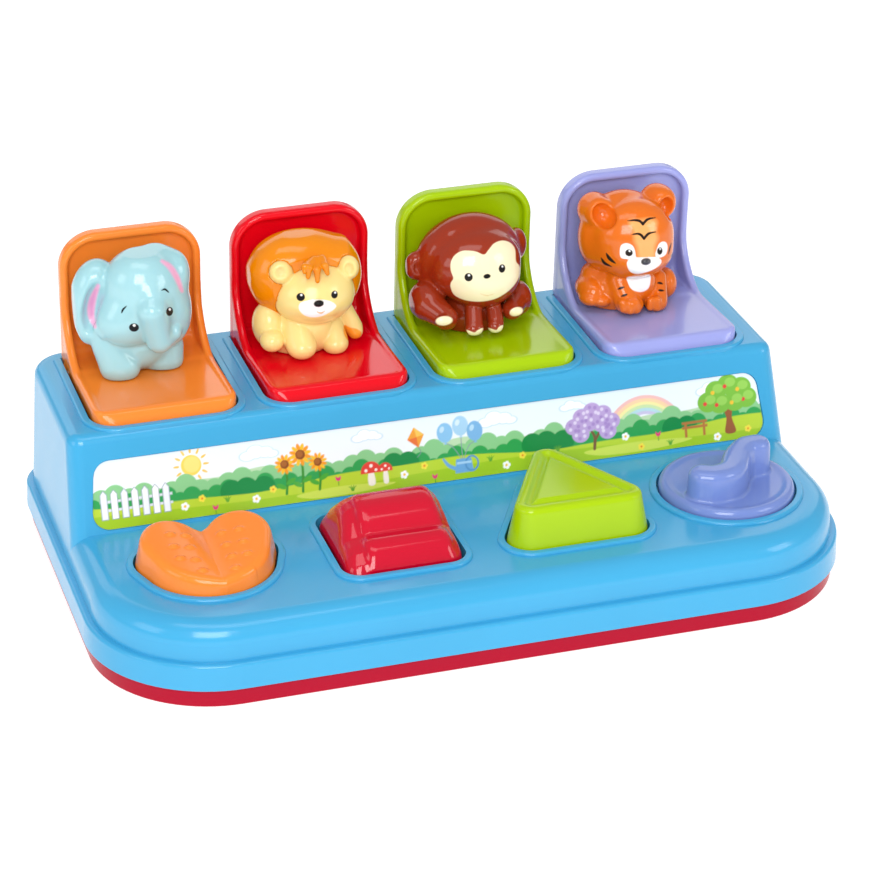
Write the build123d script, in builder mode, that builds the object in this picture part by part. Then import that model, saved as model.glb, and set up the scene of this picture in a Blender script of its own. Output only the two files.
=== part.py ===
from build123d import *
import math
import os

os.makedirs("parts", exist_ok=True)

# ---------------------------------------------------------------- dimensions
# millimetres; X to the right, +Z up, the buttons face -Y
PITCH = 70.0                       # spacing of the four pop-up lids
LID_X = [-1.5 * PITCH, -0.5 * PITCH, 0.5 * PITCH, 1.5 * PITCH]

Y_FRONT, Y_REAR = -91.1, 91.1      # overall depth of the base
X_SIDE = 152.2                     # half width of the base
R_FRONT, R_BACK = 50.0, 20.0       # plan corner radii

Z_SPLIT = 8.0                      # red base below, blue housing above
Z_LEDGE = 18.5                     # top of the ledge that runs round the skirt
Z_DECK = 33.1                      # button deck
Z_TOP = 70.0                       # top of the raised rear housing
LEDGE = 3.0
WALL = 2.6
DRAFT = 3.65                       # draft of the side walls, degrees

FACE_Y0, FACE_Y1 = -6.1, 4.9       # sloped picture face: foot at Z_DECK ...
FACE_Z1 = 67.5                     # ... and head at FACE_Z1

POCKET_HW = 29.85                  # half width of a lid pocket
POCKET_Y0, POCKET_Y1 = 9.2, 77.4
POCKET_R = 11.0

HINGE_Y, HINGE_Z = 70.4, 66.0      # lid hinge axis
PIN_R = 1.5
BORE_R = 1.56

LID_HW = 28.7                      # half width of a lid
LID_TOP = 125.2
LEAN = 0.06                        # forward lean of the open back panel
SEAT_Y0 = 9.9

HEART_X, HEART_Y = -102.8, -39.6
ROCK_X0, ROCK_X1, ROCK_Y0, ROCK_Y1 = -55.6, -7.9, -66.9, -18.6
TRI = [(9.7, -64.6), (68.1, -64.6), (38.9, -10.6)]
DIAL_X, DIAL_Y = 107.6, -41.6
DIAL_R = 27.0

HEART_TRAVEL = 6.0
TRI_TRAVEL = 6.0
ROCK_PY, ROCK_PZ = -61.4, 27.6     # rocker pivot
ROCK_CRANK = 14.0
CRANK_R = 5.0                      # throw of the dial crank pin

BAR_Z0, BAR_Z1 = 2.6, 4.6          # latch bars lie on the base floor
BAR_NOSE_Y = 52.0


def face_y(z):
    """Y of the sloped picture face at height z."""
    return FACE_Y0 + (z - Z_DECK) * (FACE_Y1 - FACE_Y0) / (FACE_Z1 - Z_DECK)


def panel_y(z):
    """Y of the front rim plane of an open lid's back panel."""
    return 69.8 + LEAN * (124.0 - z)


# ---------------------------------------------------------------- shared plan
with BuildSketch() as base_plan:
    Rectangle(2 * X_SIDE, Y_REAR - Y_FRONT)
    fillet(base_plan.vertices().group_by(Axis.Y)[0], radius=R_FRONT)
    fillet(base_plan.vertices().group_by(Axis.Y)[-1], radius=R_BACK)

# base outline of the heart button: two lobes, a rounded point and a soft notch
LOBE_C, LOBE_R = (12.4, 3.4), 14.8
TIP_C, TIP_R = (0.0, -1.5), 25.0
NOTCH_R = 2.5
NOTCH_Y = LOBE_C[1] + math.sqrt((LOBE_R + NOTCH_R) ** 2 - LOBE_C[0] ** 2)


def on_circle(centre, radius, degrees):
    return (centre[0] + radius * math.cos(math.radians(degrees)),
            centre[1] + radius * math.sin(math.radians(degrees)))


side_deg = math.degrees(math.atan2(LOBE_C[1] - TIP_C[1], LOBE_C[0])
                        - math.acos((TIP_R - LOBE_R) / math.hypot(LOBE_C[0], LOBE_C[1] - TIP_C[1])))
notch_deg = math.degrees(math.atan2(NOTCH_Y - LOBE_C[1], -LOBE_C[0]))
with BuildSketch() as heart_plan:
    with BuildLine():
        ThreePointArc(on_circle(TIP_C, TIP_R, 180 - side_deg), (0, TIP_C[1] - TIP_R), on_circle(TIP_C, TIP_R, side_deg))
        Line(on_circle(TIP_C, TIP_R, side_deg), on_circle(LOBE_C, LOBE_R, side_deg))
        ThreePointArc(on_circle(LOBE_C, LOBE_R, side_deg), on_circle(LOBE_C, LOBE_R, 40),
                      on_circle(LOBE_C, LOBE_R, notch_deg))
        notch_end = on_circle(LOBE_C, LOBE_R, notch_deg)
        ThreePointArc(notch_end, (0, NOTCH_Y - NOTCH_R), (-notch_end[0], notch_end[1]))
        lobe_top = on_circle(LOBE_C, LOBE_R, 40)
        lobe_side = on_circle(LOBE_C, LOBE_R, side_deg)
        ThreePointArc((-notch_end[0], notch_end[1]), (-lobe_top[0], lobe_top[1]), (-lobe_side[0], lobe_side[1]))
        Line((-lobe_side[0], lobe_side[1]), on_circle(TIP_C, TIP_R, 180 - side_deg))
    make_face()

with BuildSketch() as rocker_plan:
    with Locations(((ROCK_X0 + ROCK_X1) / 2, (ROCK_Y0 + ROCK_Y1) / 2)):
        RectangleRounded(ROCK_X1 - ROCK_X0, ROCK_Y1 - ROCK_Y0, 7.0)

with BuildSketch() as triangle_plan:       # outline at the top of the block
    with BuildLine():
        Polyline(*TRI, close=True)
    make_face()
    fillet(triangle_plan.vertices(), radius=6.0)


# ---------------------------------------------------------------- housing shell
# outer form: low front body with a soft shoulder, plus the raised rear body
with BuildPart() as low_outer:
    with BuildSketch(Plane.XY.offset(Z_LEDGE - 1.5)):
        add(base_plan.sketch)
        offset(amount=-LEDGE)
    extrude(amount=Z_DECK - Z_LEDGE + 1.5, taper=DRAFT)
    fillet(low_outer.faces().sort_by(Axis.Z)[-1].edges(), radius=8.5)

with BuildPart() as high_outer:
    with BuildSketch(Plane.XY.offset(Z_LEDGE - 1.5)):
        add(base_plan.sketch)
        offset(amount=-LEDGE)
    extrude(amount=Z_TOP - Z_LEDGE + 1.5, taper=DRAFT)
    with BuildSketch(Plane.YZ):
        with BuildLine():
            Polyline((face_y(0), 0), (120, 0), (120, 90), (face_y(90), 90), close=True)
        make_face()
    extrude(amount=200, both=True, mode=Mode.INTERSECT)
    fillet(high_outer.edges().filter_by(lambda e: abs(abs(e.center().X) - 147) < 6 and e.center().Y < 10
                                        and e.bounding_box().size.Z > 20), radius=6.0)
    fillet(high_outer.faces().sort_by(Axis.Z)[-1].edges(), radius=4.6)

# inner form, one wall thickness in
with BuildPart() as low_inner:
    with BuildSketch(Plane.XY.offset(Z_SPLIT - 0.1)):
        add(base_plan.sketch)
        offset(amount=-LEDGE - WALL)
    extrude(amount=Z_DECK - WALL - Z_SPLIT + 0.1, taper=DRAFT)
    fillet(low_inner.faces().sort_by(Axis.Z)[-1].edges(), radius=5.5)

with BuildPart() as high_inner:
    with BuildSketch(Plane.XY.offset(Z_SPLIT - 0.1)):
        add(base_plan.sketch)
        offset(amount=-LEDGE - WALL)
    extrude(amount=Z_TOP - WALL - Z_SPLIT + 0.1, taper=DRAFT)
    with BuildSketch(Plane.YZ):
        with BuildLine():
            Polyline((face_y(0) + WALL * 1.05, 0), (120, 0), (120, 90), (face_y(90) + WALL * 1.05, 90), close=True)
        make_face()
    extrude(amount=200, both=True, mode=Mode.INTERSECT)

recess_plane = Plane(origin=(0, face_y(47.2), 47.2), x_dir=(1, 0, 0),
                     z_dir=(0, -(FACE_Z1 - Z_DECK), FACE_Y1 - FACE_Y0))
with BuildSketch() as panel_plan:          # picture panel in its own plane
    with BuildLine():
        Polyline((-140.3, -13.7), (140.3, -13.7), (137.0, 13.7), (-137.0, 13.7), close=True)
    make_face()
    fillet(panel_plan.vertices(), radius=6.8)


with BuildSketch() as pocket_plan:         # lid pocket, about the lid centre line
    with Locations((0, (POCKET_Y0 + POCKET_Y1) / 2)):
        Rectangle(2 * POCKET_HW, POCKET_Y1 - POCKET_Y0)
    fillet(pocket_plan.vertices().group_by(Axis.Y)[0], radius=POCKET_R)
    fillet(pocket_plan.vertices().group_by(Axis.Y)[-1], radius=2.0)

POSTS = [(-141.8, -24), (141.8, -24), (-141.8, 46), (141.8, 46), (-70, -82.6), (70, -82.6),
         (-70, 82.4), (70, 82.4), (1.2, -44)]
POST_TOP = [30, 30, 30, 30, 27, 27, 30, 30, 31.5]

WELL_GAP = 0.8                             # clearance round each button
BEAD_W, BEAD_H = 2.7, 1.3                  # raised bead round each well

with BuildPart() as well_beads:            # beads, rounded over
    for plan, grow in ((heart_plan, WELL_GAP), (rocker_plan, WELL_GAP), (triangle_plan, 3.2 + WELL_GAP)):
        origin = (HEART_X, HEART_Y) if plan is heart_plan else (0, 0)
        with BuildSketch(Plane.XY.offset(Z_DECK - 1.0)):
            with Locations(origin):
                add(plan.sketch)
            offset(amount=grow + BEAD_W)
        extrude(amount=1.0 + BEAD_H)
    with BuildSketch(Plane.XY.offset(Z_DECK - 1.0)):
        with Locations((DIAL_X, DIAL_Y)):
            Circle(DIAL_R + WELL_GAP + BEAD_W)
    extrude(amount=1.0 + BEAD_H)
    fillet(well_beads.faces().filter_by(Axis.Z).group_by(Axis.Z)[-1].edges(), radius=1.1)

with BuildPart() as lid_beads:             # raised bead round each lid pocket
    for x in LID_X:
        with BuildSketch(Plane.XY.offset(Z_TOP - 1.0)):
            with Locations((x, (POCKET_Y0 - 3 + 74.5) / 2)):
                Rectangle(2 * POCKET_HW + 6, 74.5 - POCKET_Y0 + 3)
        extrude(amount=2.0)
    fillet(lid_beads.edges().filter_by(Axis.Z).filter_by(lambda e: e.center().Y < 20), radius=POCKET_R + 3)
    fillet(lid_beads.faces().filter_by(Axis.Z).group_by(Axis.Z)[-1].edges(), radius=0.9)

# ---------------------------------------------------------------- top housing
with BuildPart() as top_housing:
    with BuildSketch(Plane.XY.offset(Z_SPLIT)):
        add(base_plan.sketch)
    extrude(amount=Z_LEDGE - Z_SPLIT, taper=2.0)
    fillet(top_housing.faces().sort_by(Axis.Z)[-1].edges(), radius=1.4)
    add(low_outer.part)
    add(high_outer.part)
    add(well_beads.part)
    add(lid_beads.part)
    # hollow inside
    with BuildSketch(Plane.XY.offset(Z_SPLIT - 0.1)):
        add(base_plan.sketch)
        offset(amount=-3.0)
    extrude(amount=Z_LEDGE - 3.0 - Z_SPLIT + 0.1, mode=Mode.SUBTRACT)
    add(low_inner.part, mode=Mode.SUBTRACT)
    add(high_inner.part, mode=Mode.SUBTRACT)
    # recess for the picture panel
    with BuildSketch(recess_plane.offset(-1.0)):
        add(panel_plan.sketch)
    extrude(amount=6.0, mode=Mode.SUBTRACT)
    # collars under the wells and skirts under the pockets
    with BuildSketch(Plane.XY.offset(Z_DECK - 7.0)):
        with Locations((HEART_X, HEART_Y)):
            add(heart_plan.sketch)
        add(rocker_plan.sketch)
        offset(amount=WELL_GAP + 2.0)
    extrude(amount=6.0)
    with BuildSketch(Plane.XY.offset(Z_DECK - 7.0)):
        add(triangle_plan.sketch)
        offset(amount=3.2 + WELL_GAP + 2.0)
    extrude(amount=6.0)
    with BuildSketch(Plane.XY.offset(27.6)):
        with Locations((DIAL_X, DIAL_Y)):
            Circle(DIAL_R + WELL_GAP + 2.0)
    extrude(amount=5.0)
    for x in LID_X:
        with BuildSketch(Plane.XY.offset(62.5)):
            with Locations((x, 0)):
                add(pocket_plan.sketch)
            offset(amount=1.8)
        extrude(amount=6.0)
        with Locations((x - 31.5, 70.4, 63.5), (x + 31.5, 70.4, 63.5)):
            Box(3.3, 13.0, 9.0)
    # rocker pin lugs
    with Locations((ROCK_X0 - 2.0, ROCK_PY, 27.0), (ROCK_X1 + 2.0, ROCK_PY, 27.0)):
        Box(2.4, 8.0, 8.0)
    # screw posts
    for (px, py), top in zip(POSTS, POST_TOP):
        with Locations((px, py, (9.0 + top) / 2)):
            Cylinder(radius=3.85, height=top - 9.0)
    # well and pocket openings
    with BuildSketch(Plane.XY.offset(Z_DECK - 8.0)):
        with Locations((HEART_X, HEART_Y)):
            add(heart_plan.sketch)
        add(rocker_plan.sketch)
        offset(amount=WELL_GAP)
    extrude(amount=12.0, mode=Mode.SUBTRACT)
    with BuildSketch(Plane.XY.offset(Z_DECK - 8.0)):
        add(triangle_plan.sketch)
        offset(amount=3.2 + WELL_GAP)
    extrude(amount=12.0, mode=Mode.SUBTRACT)
    with BuildSketch(Plane.XY.offset(30.2)):
        with Locations((DIAL_X, DIAL_Y)):
            Circle(DIAL_R + WELL_GAP)
    extrude(amount=6.0, mode=Mode.SUBTRACT)
    with Locations((DIAL_X, DIAL_Y, 30)):
        Cylinder(radius=7.35, height=12.0, mode=Mode.SUBTRACT)
    for x in LID_X:
        with BuildSketch(Plane.XY.offset(62.0)):
            with Locations((x, 0)):
                add(pocket_plan.sketch)
        extrude(amount=12.0, mode=Mode.SUBTRACT)
    # bores
    for x in LID_X:
        with Locations((x, HINGE_Y, HINGE_Z)):
            Cylinder(radius=PIN_R + 0.02, height=67.4, rotation=(0, 90, 0), mode=Mode.SUBTRACT)
    with Locations(((ROCK_X0 + ROCK_X1) / 2, ROCK_PY, ROCK_PZ)):
        Cylinder(radius=PIN_R + 0.02, height=60.0, rotation=(0, 90, 0), mode=Mode.SUBTRACT)
    with Locations([(px, py, 9.0 + 6.0) for px, py in POSTS]):
        Cylinder(radius=PIN_R + 0.02, height=12.2, mode=Mode.SUBTRACT)
top_housing.part.label = "top_housing"
print("housing", top_housing.part.volume, len(top_housing.part.solids()), top_housing.part.is_valid)
export_step(top_housing.part, "parts/top_housing.step")

# ---------------------------------------------------------------- base plate
GUIDES = [(-118.0, 6), (-118.0, 34), (-46.0, 6), (-46.0, 34), (52.0, 6), (52.0, 34), (120.0, 6), (120.0, 34)]
with BuildPart() as base_plate:
    with BuildSketch():
        add(base_plan.sketch)
        offset(amount=-1.9)
    extrude(amount=Z_SPLIT, taper=-2)
    fillet(base_plate.faces().sort_by(Axis.Z)[0].edges(), radius=0.8)
    with BuildSketch(Plane.XY.offset(2.5)):
        add(base_plan.sketch)
        offset(amount=-4.4)
    extrude(amount=10.0, mode=Mode.SUBTRACT)
    # tongue that locates the housing
    with BuildSketch(Plane.XY.offset(2.0)):
        add(base_plan.sketch)
        offset(amount=-3.2)
        with BuildSketch(mode=Mode.PRIVATE) as tongue_inner:
            add(base_plan.sketch)
            offset(amount=-4.6)
        add(tongue_inner.sketch, mode=Mode.SUBTRACT)
    extrude(amount=7.6)
    # screw bosses
    for (px, py) in POSTS:
        with Locations((px, py, 5.7)):
            Cylinder(radius=4.4, height=6.5)
    # guide pairs of the latch bars
    for gx, gy in GUIDES:
        with Locations((gx - 5.2, gy, 3.9), (gx + 5.2, gy, 3.9)):
            Box(2.0, 8.0, 3.6)
    # spring seats under the two push buttons
    with Locations((HEART_X, HEART_Y - 2.0, 5.0), (38.9, -47.0, 5.0)):
        Cylinder(radius=5.2, height=6.0)
    for (px, py) in POSTS:
        with Locations((px, py, 1.3)):
            Cylinder(radius=3.3, height=3.6, mode=Mode.SUBTRACT)
        with Locations((px, py, 5.0)):
            Cylinder(radius=1.75, height=10.0, mode=Mode.SUBTRACT)
base_plate.part.label = "base_plate"
print("base", base_plate.part.volume, len(base_plate.part.solids()), base_plate.part.is_valid)
export_step(base_plate.part, "parts/base_plate.step")

with BuildPart() as picture_label:
    with BuildSketch(recess_plane.offset(-1.0)):
        add(panel_plan.sketch)
        offset(amount=-0.25)
    extrude(amount=0.4)
picture_label.part.label = "picture_label"
export_step(picture_label.part, "parts/picture_label.step")

with BuildPart() as housing_screws:
    for px, py in POSTS:
        with Locations((px, py, 2.0)):
            Cylinder(radius=2.8, height=2.2)
        with Locations((px, py, 11.5)):
            Cylinder(radius=PIN_R, height=17.0)
        with Locations((px, py, 1.2)):
            Box(3.6, 0.7, 0.8, mode=Mode.SUBTRACT)
            Box(0.7, 3.6, 0.8, mode=Mode.SUBTRACT)
housing_screws.part.label = "housing_screws"
export_step(housing_screws.part, "parts/housing_screws.step")

with BuildPart() as hinge_pins:
    for x in LID_X:
        with Locations((x, HINGE_Y, HINGE_Z)):
            Cylinder(radius=PIN_R, height=66.6, rotation=(0, 90, 0))
hinge_pins.part.label = "hinge_pins"
export_step(hinge_pins.part, "parts/hinge_pins.step")

# ---------------------------------------------------------------- pop-up lids
SEAT_Z0, SEAT_Z1 = 75.5, 72.5              # seat top at its front lip and at the back
RIM = 3.4                                  # rim round the recessed back panel
RECESS = 3.4
PAD_Z = 70.3                               # seats of the figure screws
FIG_SCREW = [(-9.0, 54.0), (3.0, 54.0)]


def seat_z(y):
    """Height of the seat top at y."""
    return SEAT_Z1 + (SEAT_Z0 - SEAT_Z1) * (73.0 - y) / (73.0 - 13.9)


with BuildPart() as lid_solid:             # outside form of a lid, open
    with BuildSketch(Plane.YZ):
        with BuildLine():
            Polyline((SEAT_Y0, 66.4), (SEAT_Y0, 70.0), (13.9, SEAT_Z0), (panel_y(seat_z(73)), seat_z(73)),
                     (panel_y(LID_TOP), LID_TOP), (panel_y(LID_TOP) + 7.0, LID_TOP),
                     (panel_y(70.35) + 7.0, 70.35), (77.0, 70.35), (77.0, 66.4), close=True)
        make_face()
    extrude(amount=LID_HW, both=True)
    # sweep of the side rims from the back panel down to the seat
    fillet(lid_solid.edges().filter_by(Axis.X).filter_by(lambda e: abs(e.center().Y - 73) < 1.5
                                                         and abs(e.center().Z - 72.5) < 0.6), radius=26.0)
    fillet(lid_solid.edges().filter_by(lambda e: e.center().Z > 123 and abs(abs(e.center().X) - LID_HW) < 0.1),
           radius=15.0)
    fillet(lid_solid.edges().filter_by(lambda e: abs(abs(e.center().X) - LID_HW) < 0.1 and e.center().Y < 13
                                       and e.bounding_box().size.Z > 3), radius=9.0)

with BuildPart() as lid_recess:            # front recess of the back panel, running out on the seat
    with BuildSketch(Plane.XZ.offset(-20.0)):
        with Locations((0, (60.0 + LID_TOP - RIM) / 2)):
            Rectangle(2 * (LID_HW - RIM), LID_TOP - RIM - 60.0)
        fillet(vertices().group_by(Axis.Z)[-1], radius=12.0)
    extrude(amount=-70.0)
    with BuildSketch(Plane.YZ):
        with BuildLine():
            Polyline((12.0, seat_z(12.0)), (panel_y(72.5) + RECESS, seat_z(panel_y(72.5) + RECESS)),
                     (panel_y(130) + RECESS, 130), (12.0, 130), close=True)
        make_face()
    extrude(amount=60, both=True, mode=Mode.INTERSECT)
    fillet(lid_recess.edges().filter_by(Axis.X).filter_by(lambda e: e.center().Z < 80 and e.center().Y > 60),
           radius=6.0)

with BuildPart() as lid_hollow:            # hollow of the seat, from below
    with BuildSketch(Plane.YZ):
        with BuildLine():
            Polyline((12.6, 60.0), (12.6, 70.6), (16.0, seat_z(16) - 2.6), (66.0, seat_z(66) - 2.6), (66.0, 60.0),
                     close=True)
        make_face()
    extrude(amount=LID_HW - 2.4, both=True)
    fillet(lid_hollow.edges().filter_by(lambda e: abs(abs(e.center().X) - LID_HW + 2.4) < 0.1 and e.center().Y < 15
                                        and e.bounding_box().size.Z > 1), radius=7.0)

with BuildPart() as lid_form:
    add(lid_solid.part)
    add(lid_hollow.part, mode=Mode.SUBTRACT)
    add(lid_recess.part, mode=Mode.SUBTRACT)
    # room for the spring
    with Locations((0, 69.5, 65.2)):
        Box(30.0, 15.2, 10.0, mode=Mode.SUBTRACT)
    # hinge barrels
    for side in (-1, 1):
        with Locations((side * (16.0 + 29.4) / 2, HINGE_Y, HINGE_Z)):
            Cylinder(radius=4.0, height=13.4, rotation=(0, 90, 0))
    for fx, fy in FIG_SCREW:
        with Locations((fx, fy, PAD_Z + 0.75)):
            Cylinder(radius=3.8, height=1.5)
    with Locations((0, HINGE_Y, HINGE_Z)):
        Cylinder(radius=BORE_R, height=70.0, rotation=(0, 90, 0), mode=Mode.SUBTRACT)
    for fx, fy in FIG_SCREW:
        with Locations((fx, fy, 72.0)):
            Cylinder(radius=1.4, height=8.0, mode=Mode.SUBTRACT)
print("lid", lid_form.part.volume, len(lid_form.part.solids()), lid_form.part.is_valid)

with BuildPart() as lid_screw_form:
    for fx, fy in FIG_SCREW:
        with Locations((fx, fy, PAD_Z - 1.0)):
            Cylinder(radius=2.75, height=2.0)
        with Locations((fx, fy, PAD_Z + 6.0)):
            Cylinder(radius=1.25, height=12.6)
        with Locations((fx, fy, PAD_Z - 1.8)):
            Box(3.4, 0.6, 0.9, mode=Mode.SUBTRACT)
            Box(0.6, 3.4, 0.9, mode=Mode.SUBTRACT)

with BuildPart() as lid_spring_form:       # coil round the pin, with its two legs
    with BuildSketch(Plane.XY):
        with BuildLine():
            Polyline((-6.0, 2.1), (6.0, 2.1), (6.0, 3.3), (-6.0, 3.3), close=True)
        make_face()
        with Locations([(-5.4 + 1.2 * k, 3.1) for k in range(10)]):
            Circle(0.6)
    revolve(axis=Axis.X)
    for lx, lz in ((5.4, 2.9), (-5.4, -2.9)):
        with Locations((lx, -5.5, lz)):
            Cylinder(radius=0.6, height=11.0, rotation=(90, 0, 0))


def placed(shape, dx, dy=0.0, dz=0.0):
    return shape.moved(Location((dx, dy, dz)))


ANIMALS = ["elephant", "lion", "monkey", "tiger"]
for name, x in zip(ANIMALS, LID_X):
    for form, suffix, shift in ((lid_form, "_lid", (x, 0, 0)), (lid_screw_form, "_screws", (x, 0, 0)),
                                (lid_spring_form, "_spring", (x, HINGE_Y, HINGE_Z))):
        item = placed(form.part, *shift)
        item.label = name + suffix
        export_step(item, "parts/" + name + suffix + ".step")


# ---------------------------------------------------------------- figures
def capsule(p0, p1, r):
    """Rounded rod from p0 to p1."""
    a, b = Vector(*p0), Vector(*p1)
    rod = Solid.make_cylinder(r, (b - a).length, Plane(origin=a, z_dir=b - a))
    return [rod, Solid.make_sphere(r, Plane(origin=a), -90, 90, 360), Solid.make_sphere(r, Plane(origin=b), -90, 90, 360)]


def ball(x, y, z, r):
    return [Solid.make_sphere(r, Plane(origin=(x, y, z)), -90, 90, 360)]


def blobs(items):
    """One solid from overlapping balls, rods and slabs."""
    flat = [s for group in items for s in group]
    return flat[0].fuse(*flat[1:]).solids()[0]


def slab(p0, p1, r, y0, y1):
    """Flat ear from p0 to p1 in XZ, between two Y planes."""
    with BuildPart() as ear:
        with BuildSketch(Plane.XZ.offset(-y1)):
            with Locations(p0, p1):
                Circle(r)
            if p0 != p1:
                SlotCenterPoint(((p0[0] + p1[0]) / 2, (p0[1] + p1[1]) / 2), p1, 2 * r)
        extrude(amount=y1 - y0)
    return [s for s in ear.part.solids()]


with BuildPart() as figure_room:           # space a figure may fill
    with BuildSketch(Plane.YZ):
        with BuildLine():
            Polyline((20.0, seat_z(20.0)), (panel_y(72.5) + RECESS - 0.1, seat_z(panel_y(72.5) + RECESS - 0.1)),
                     (panel_y(130) + RECESS - 0.1, 130), (20.0, 130), close=True)
        make_face()
    extrude(amount=40, both=True)


def settled(body):
    """Trim a figure to the seat and back panel and drill it for its screws."""
    with BuildPart() as fig:
        add(body)
        add(figure_room.part, mode=Mode.INTERSECT)
        add(lid_shell.part, mode=Mode.SUBTRACT)
        for fx, fy in FIG_SCREW:
            with Locations((fx, fy, 78.0)):
                Cylinder(radius=1.27, height=11.2, mode=Mode.SUBTRACT)
    return fig.part


with BuildPart() as lid_shell:             # outside form of a lid with its recess
    add(lid_solid.part)
    add(lid_recess.part, mode=Mode.SUBTRACT)

elephant_body = blobs([ball(-1, 54, 101, 18), ball(3, 56, 107.5, 14), ball(-2, 54, 86, 15),
                       slab((-15.0, 99.5), (-13.5, 107.0), 11.0, 54.0, 60.0),
                       slab((11.5, 102.0), (11.5, 110.0), 9.5, 54.0, 60.0),
                       capsule((0, 42, 97), (-2, 41.5, 86), 5.5), capsule((-11.7, 46, 82), (-11.7, 46, 76), 6.8),
                       capsule((9.3, 49, 82), (9.3, 49, 76), 6.5)])
lion_head_body = blobs([ball(-6, 55, 84, 15), ball(-3, 50.5, 100, 14.5), ball(-14, 50, 108.5, 5), ball(10.5, 50, 107.5, 5),
                        capsule((-17, 46, 84), (-17.5, 43, 79.5), 6.6), capsule((-7, 47, 84), (-7.5, 43.5, 79.5), 6.2),
                        capsule((6, 48, 84), (6.5, 46, 79.5), 6.0), capsule((8, 56, 79), (14.5, 52, 78.5), 4.0)])
lion_mane_ball = blobs([ball(-3, 59, 98, 21.4), ball(15, 60, 109.5, 8.6)])
monkey_body = blobs([ball(-3.5, 54, 104, 17.4), ball(-4.5, 54, 84, 13), slab((-22.4, 98.0), (-22.4, 98.0), 5.6, 55.0, 61.0),
                     slab((17.3, 98.0), (17.3, 98.0), 5.6, 55.0, 61.0),
                     capsule((-14, 48, 80), (-20, 38, 83), 7.0), capsule((4, 48, 80), (6.5, 38, 83), 7.0),
                     capsule((-14, 46, 92), (-9, 35, 80.5), 4.0), capsule((7, 46, 92), (-0.5, 35, 81.5), 4.0),
                     ball(-18.5, 50, 88, 6.5), ball(11.0, 50, 88, 6.5)])
tiger_body = blobs([ball(-5, 54, 104, 16.6), ball(-16.0, 57, 115.3, 6.4), ball(9.5, 56, 115.3, 6.3), ball(-5.5, 55.5, 85, 13.7),
                    ball(-17.4, 53.2, 82.3, 9.4), ball(8.3, 54.1, 82.1, 9.2),
                    capsule((-11, 46, 91), (-9.6, 43, 79.5), 5.2), capsule((3, 46, 91), (2.2, 44, 79.5), 5.2)])

elephant_fig = settled(elephant_body)
lion_fig = settled(lion_head_body)
monkey_fig = settled(monkey_body)
tiger_fig = settled(tiger_body)
with BuildPart() as mane:
    add(lion_mane_ball)
    with Locations((0, 65, 100)):
        Box(80, 38, 60, mode=Mode.INTERSECT)
    add(figure_room.part, mode=Mode.INTERSECT)
    add(lid_shell.part, mode=Mode.SUBTRACT)
    add(lion_head_body, mode=Mode.SUBTRACT)

for name, fig, x in (("elephant_figure", elephant_fig, LID_X[0]), ("lion_body", lion_fig, LID_X[1]),
                     ("lion_mane", mane.part, LID_X[1]), ("monkey_figure", monkey_fig, LID_X[2]),
                     ("tiger_figure", tiger_fig, LID_X[3])):
    item = placed(fig, x)
    item.label = name
    bb = item.bounding_box()
    print(name, item.volume, len(item.solids()), item.is_valid, [round(v, 1) for v in (bb.min.X - x, bb.min.Y, bb.min.Z, bb.max.X - x, bb.max.Y, bb.max.Z)])
    export_step(item, "parts/" + name + ".step")

# ---------------------------------------------------------------- heart button
HEART_FLANGE = (23.5, 25.7)
HEART_BAR_X = -118.0
HEART_PIN_Y, PUSH_PIN_Z = -30.0, 15.0
with BuildPart() as heart_inside:
    with BuildSketch(Plane.XY.offset(23.4)):
        with Locations((HEART_X, HEART_Y)):
            add(heart_plan.sketch)
        offset(amount=-2.6)
    extrude(amount=13.2, taper=14)
with BuildPart() as heart_button:
    with BuildSketch(Plane.XY.offset(25.0)):
        with Locations((HEART_X, HEART_Y)):
            add(heart_plan.sketch)
    extrude(amount=8.6)
    with BuildSketch(Plane.XY.offset(33.6)):
        with Locations((HEART_X, HEART_Y)):
            add(heart_plan.sketch)
    extrude(amount=15.4, taper=13)
    # slight prow that gives the top its front point
    with BuildSketch(Plane.XY.offset(33.6)):
        with BuildLine():
            Polyline((HEART_X, HEART_Y - 26.4), (HEART_X + 11, HEART_Y - 22.4), (HEART_X, HEART_Y - 12),
                     (HEART_X - 11, HEART_Y - 22.4), close=True)
        make_face()
    extrude(amount=12.0)
    # valley between the lobes, falling to the front point
    with BuildSketch(Plane(origin=(HEART_X, HEART_Y + 36, 43.3), x_dir=(1, 0, 0), z_dir=(0, -1, -0.06))):
        with BuildLine():
            Polyline((0, 0), (-34, 0.17 * 34), (-34, 20), (34, 20), (34, 0.17 * 34), close=True)
        make_face()
    extrude(amount=70, mode=Mode.SUBTRACT)
    with BuildSketch(Plane.XY.offset(HEART_FLANGE[0])):
        with Locations((HEART_X, HEART_Y)):
            add(heart_plan.sketch)
        offset(amount=2.2)
    extrude(amount=HEART_FLANGE[1] - HEART_FLANGE[0])
    add(heart_inside.part, mode=Mode.SUBTRACT)
    with Locations((HEART_X, HEART_Y - 2.0, 31.0)):
        Cylinder(radius=8.2, height=15.0)
    with Locations((HEART_BAR_X + 4.0, HEART_PIN_Y, 25.6)):
        Box(2.5, 7.0, 26.8)
    with Locations((HEART_BAR_X + 0.75, HEART_PIN_Y, PUSH_PIN_Z)):
        Cylinder(radius=PIN_R, height=6.5, rotation=(0, 90, 0))
heart_button.part.label = "heart_button"
print("heart", heart_button.part.volume, len(heart_button.part.solids()), heart_button.part.is_valid)
export_step(heart_button.part, "parts/heart_button.step")

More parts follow.
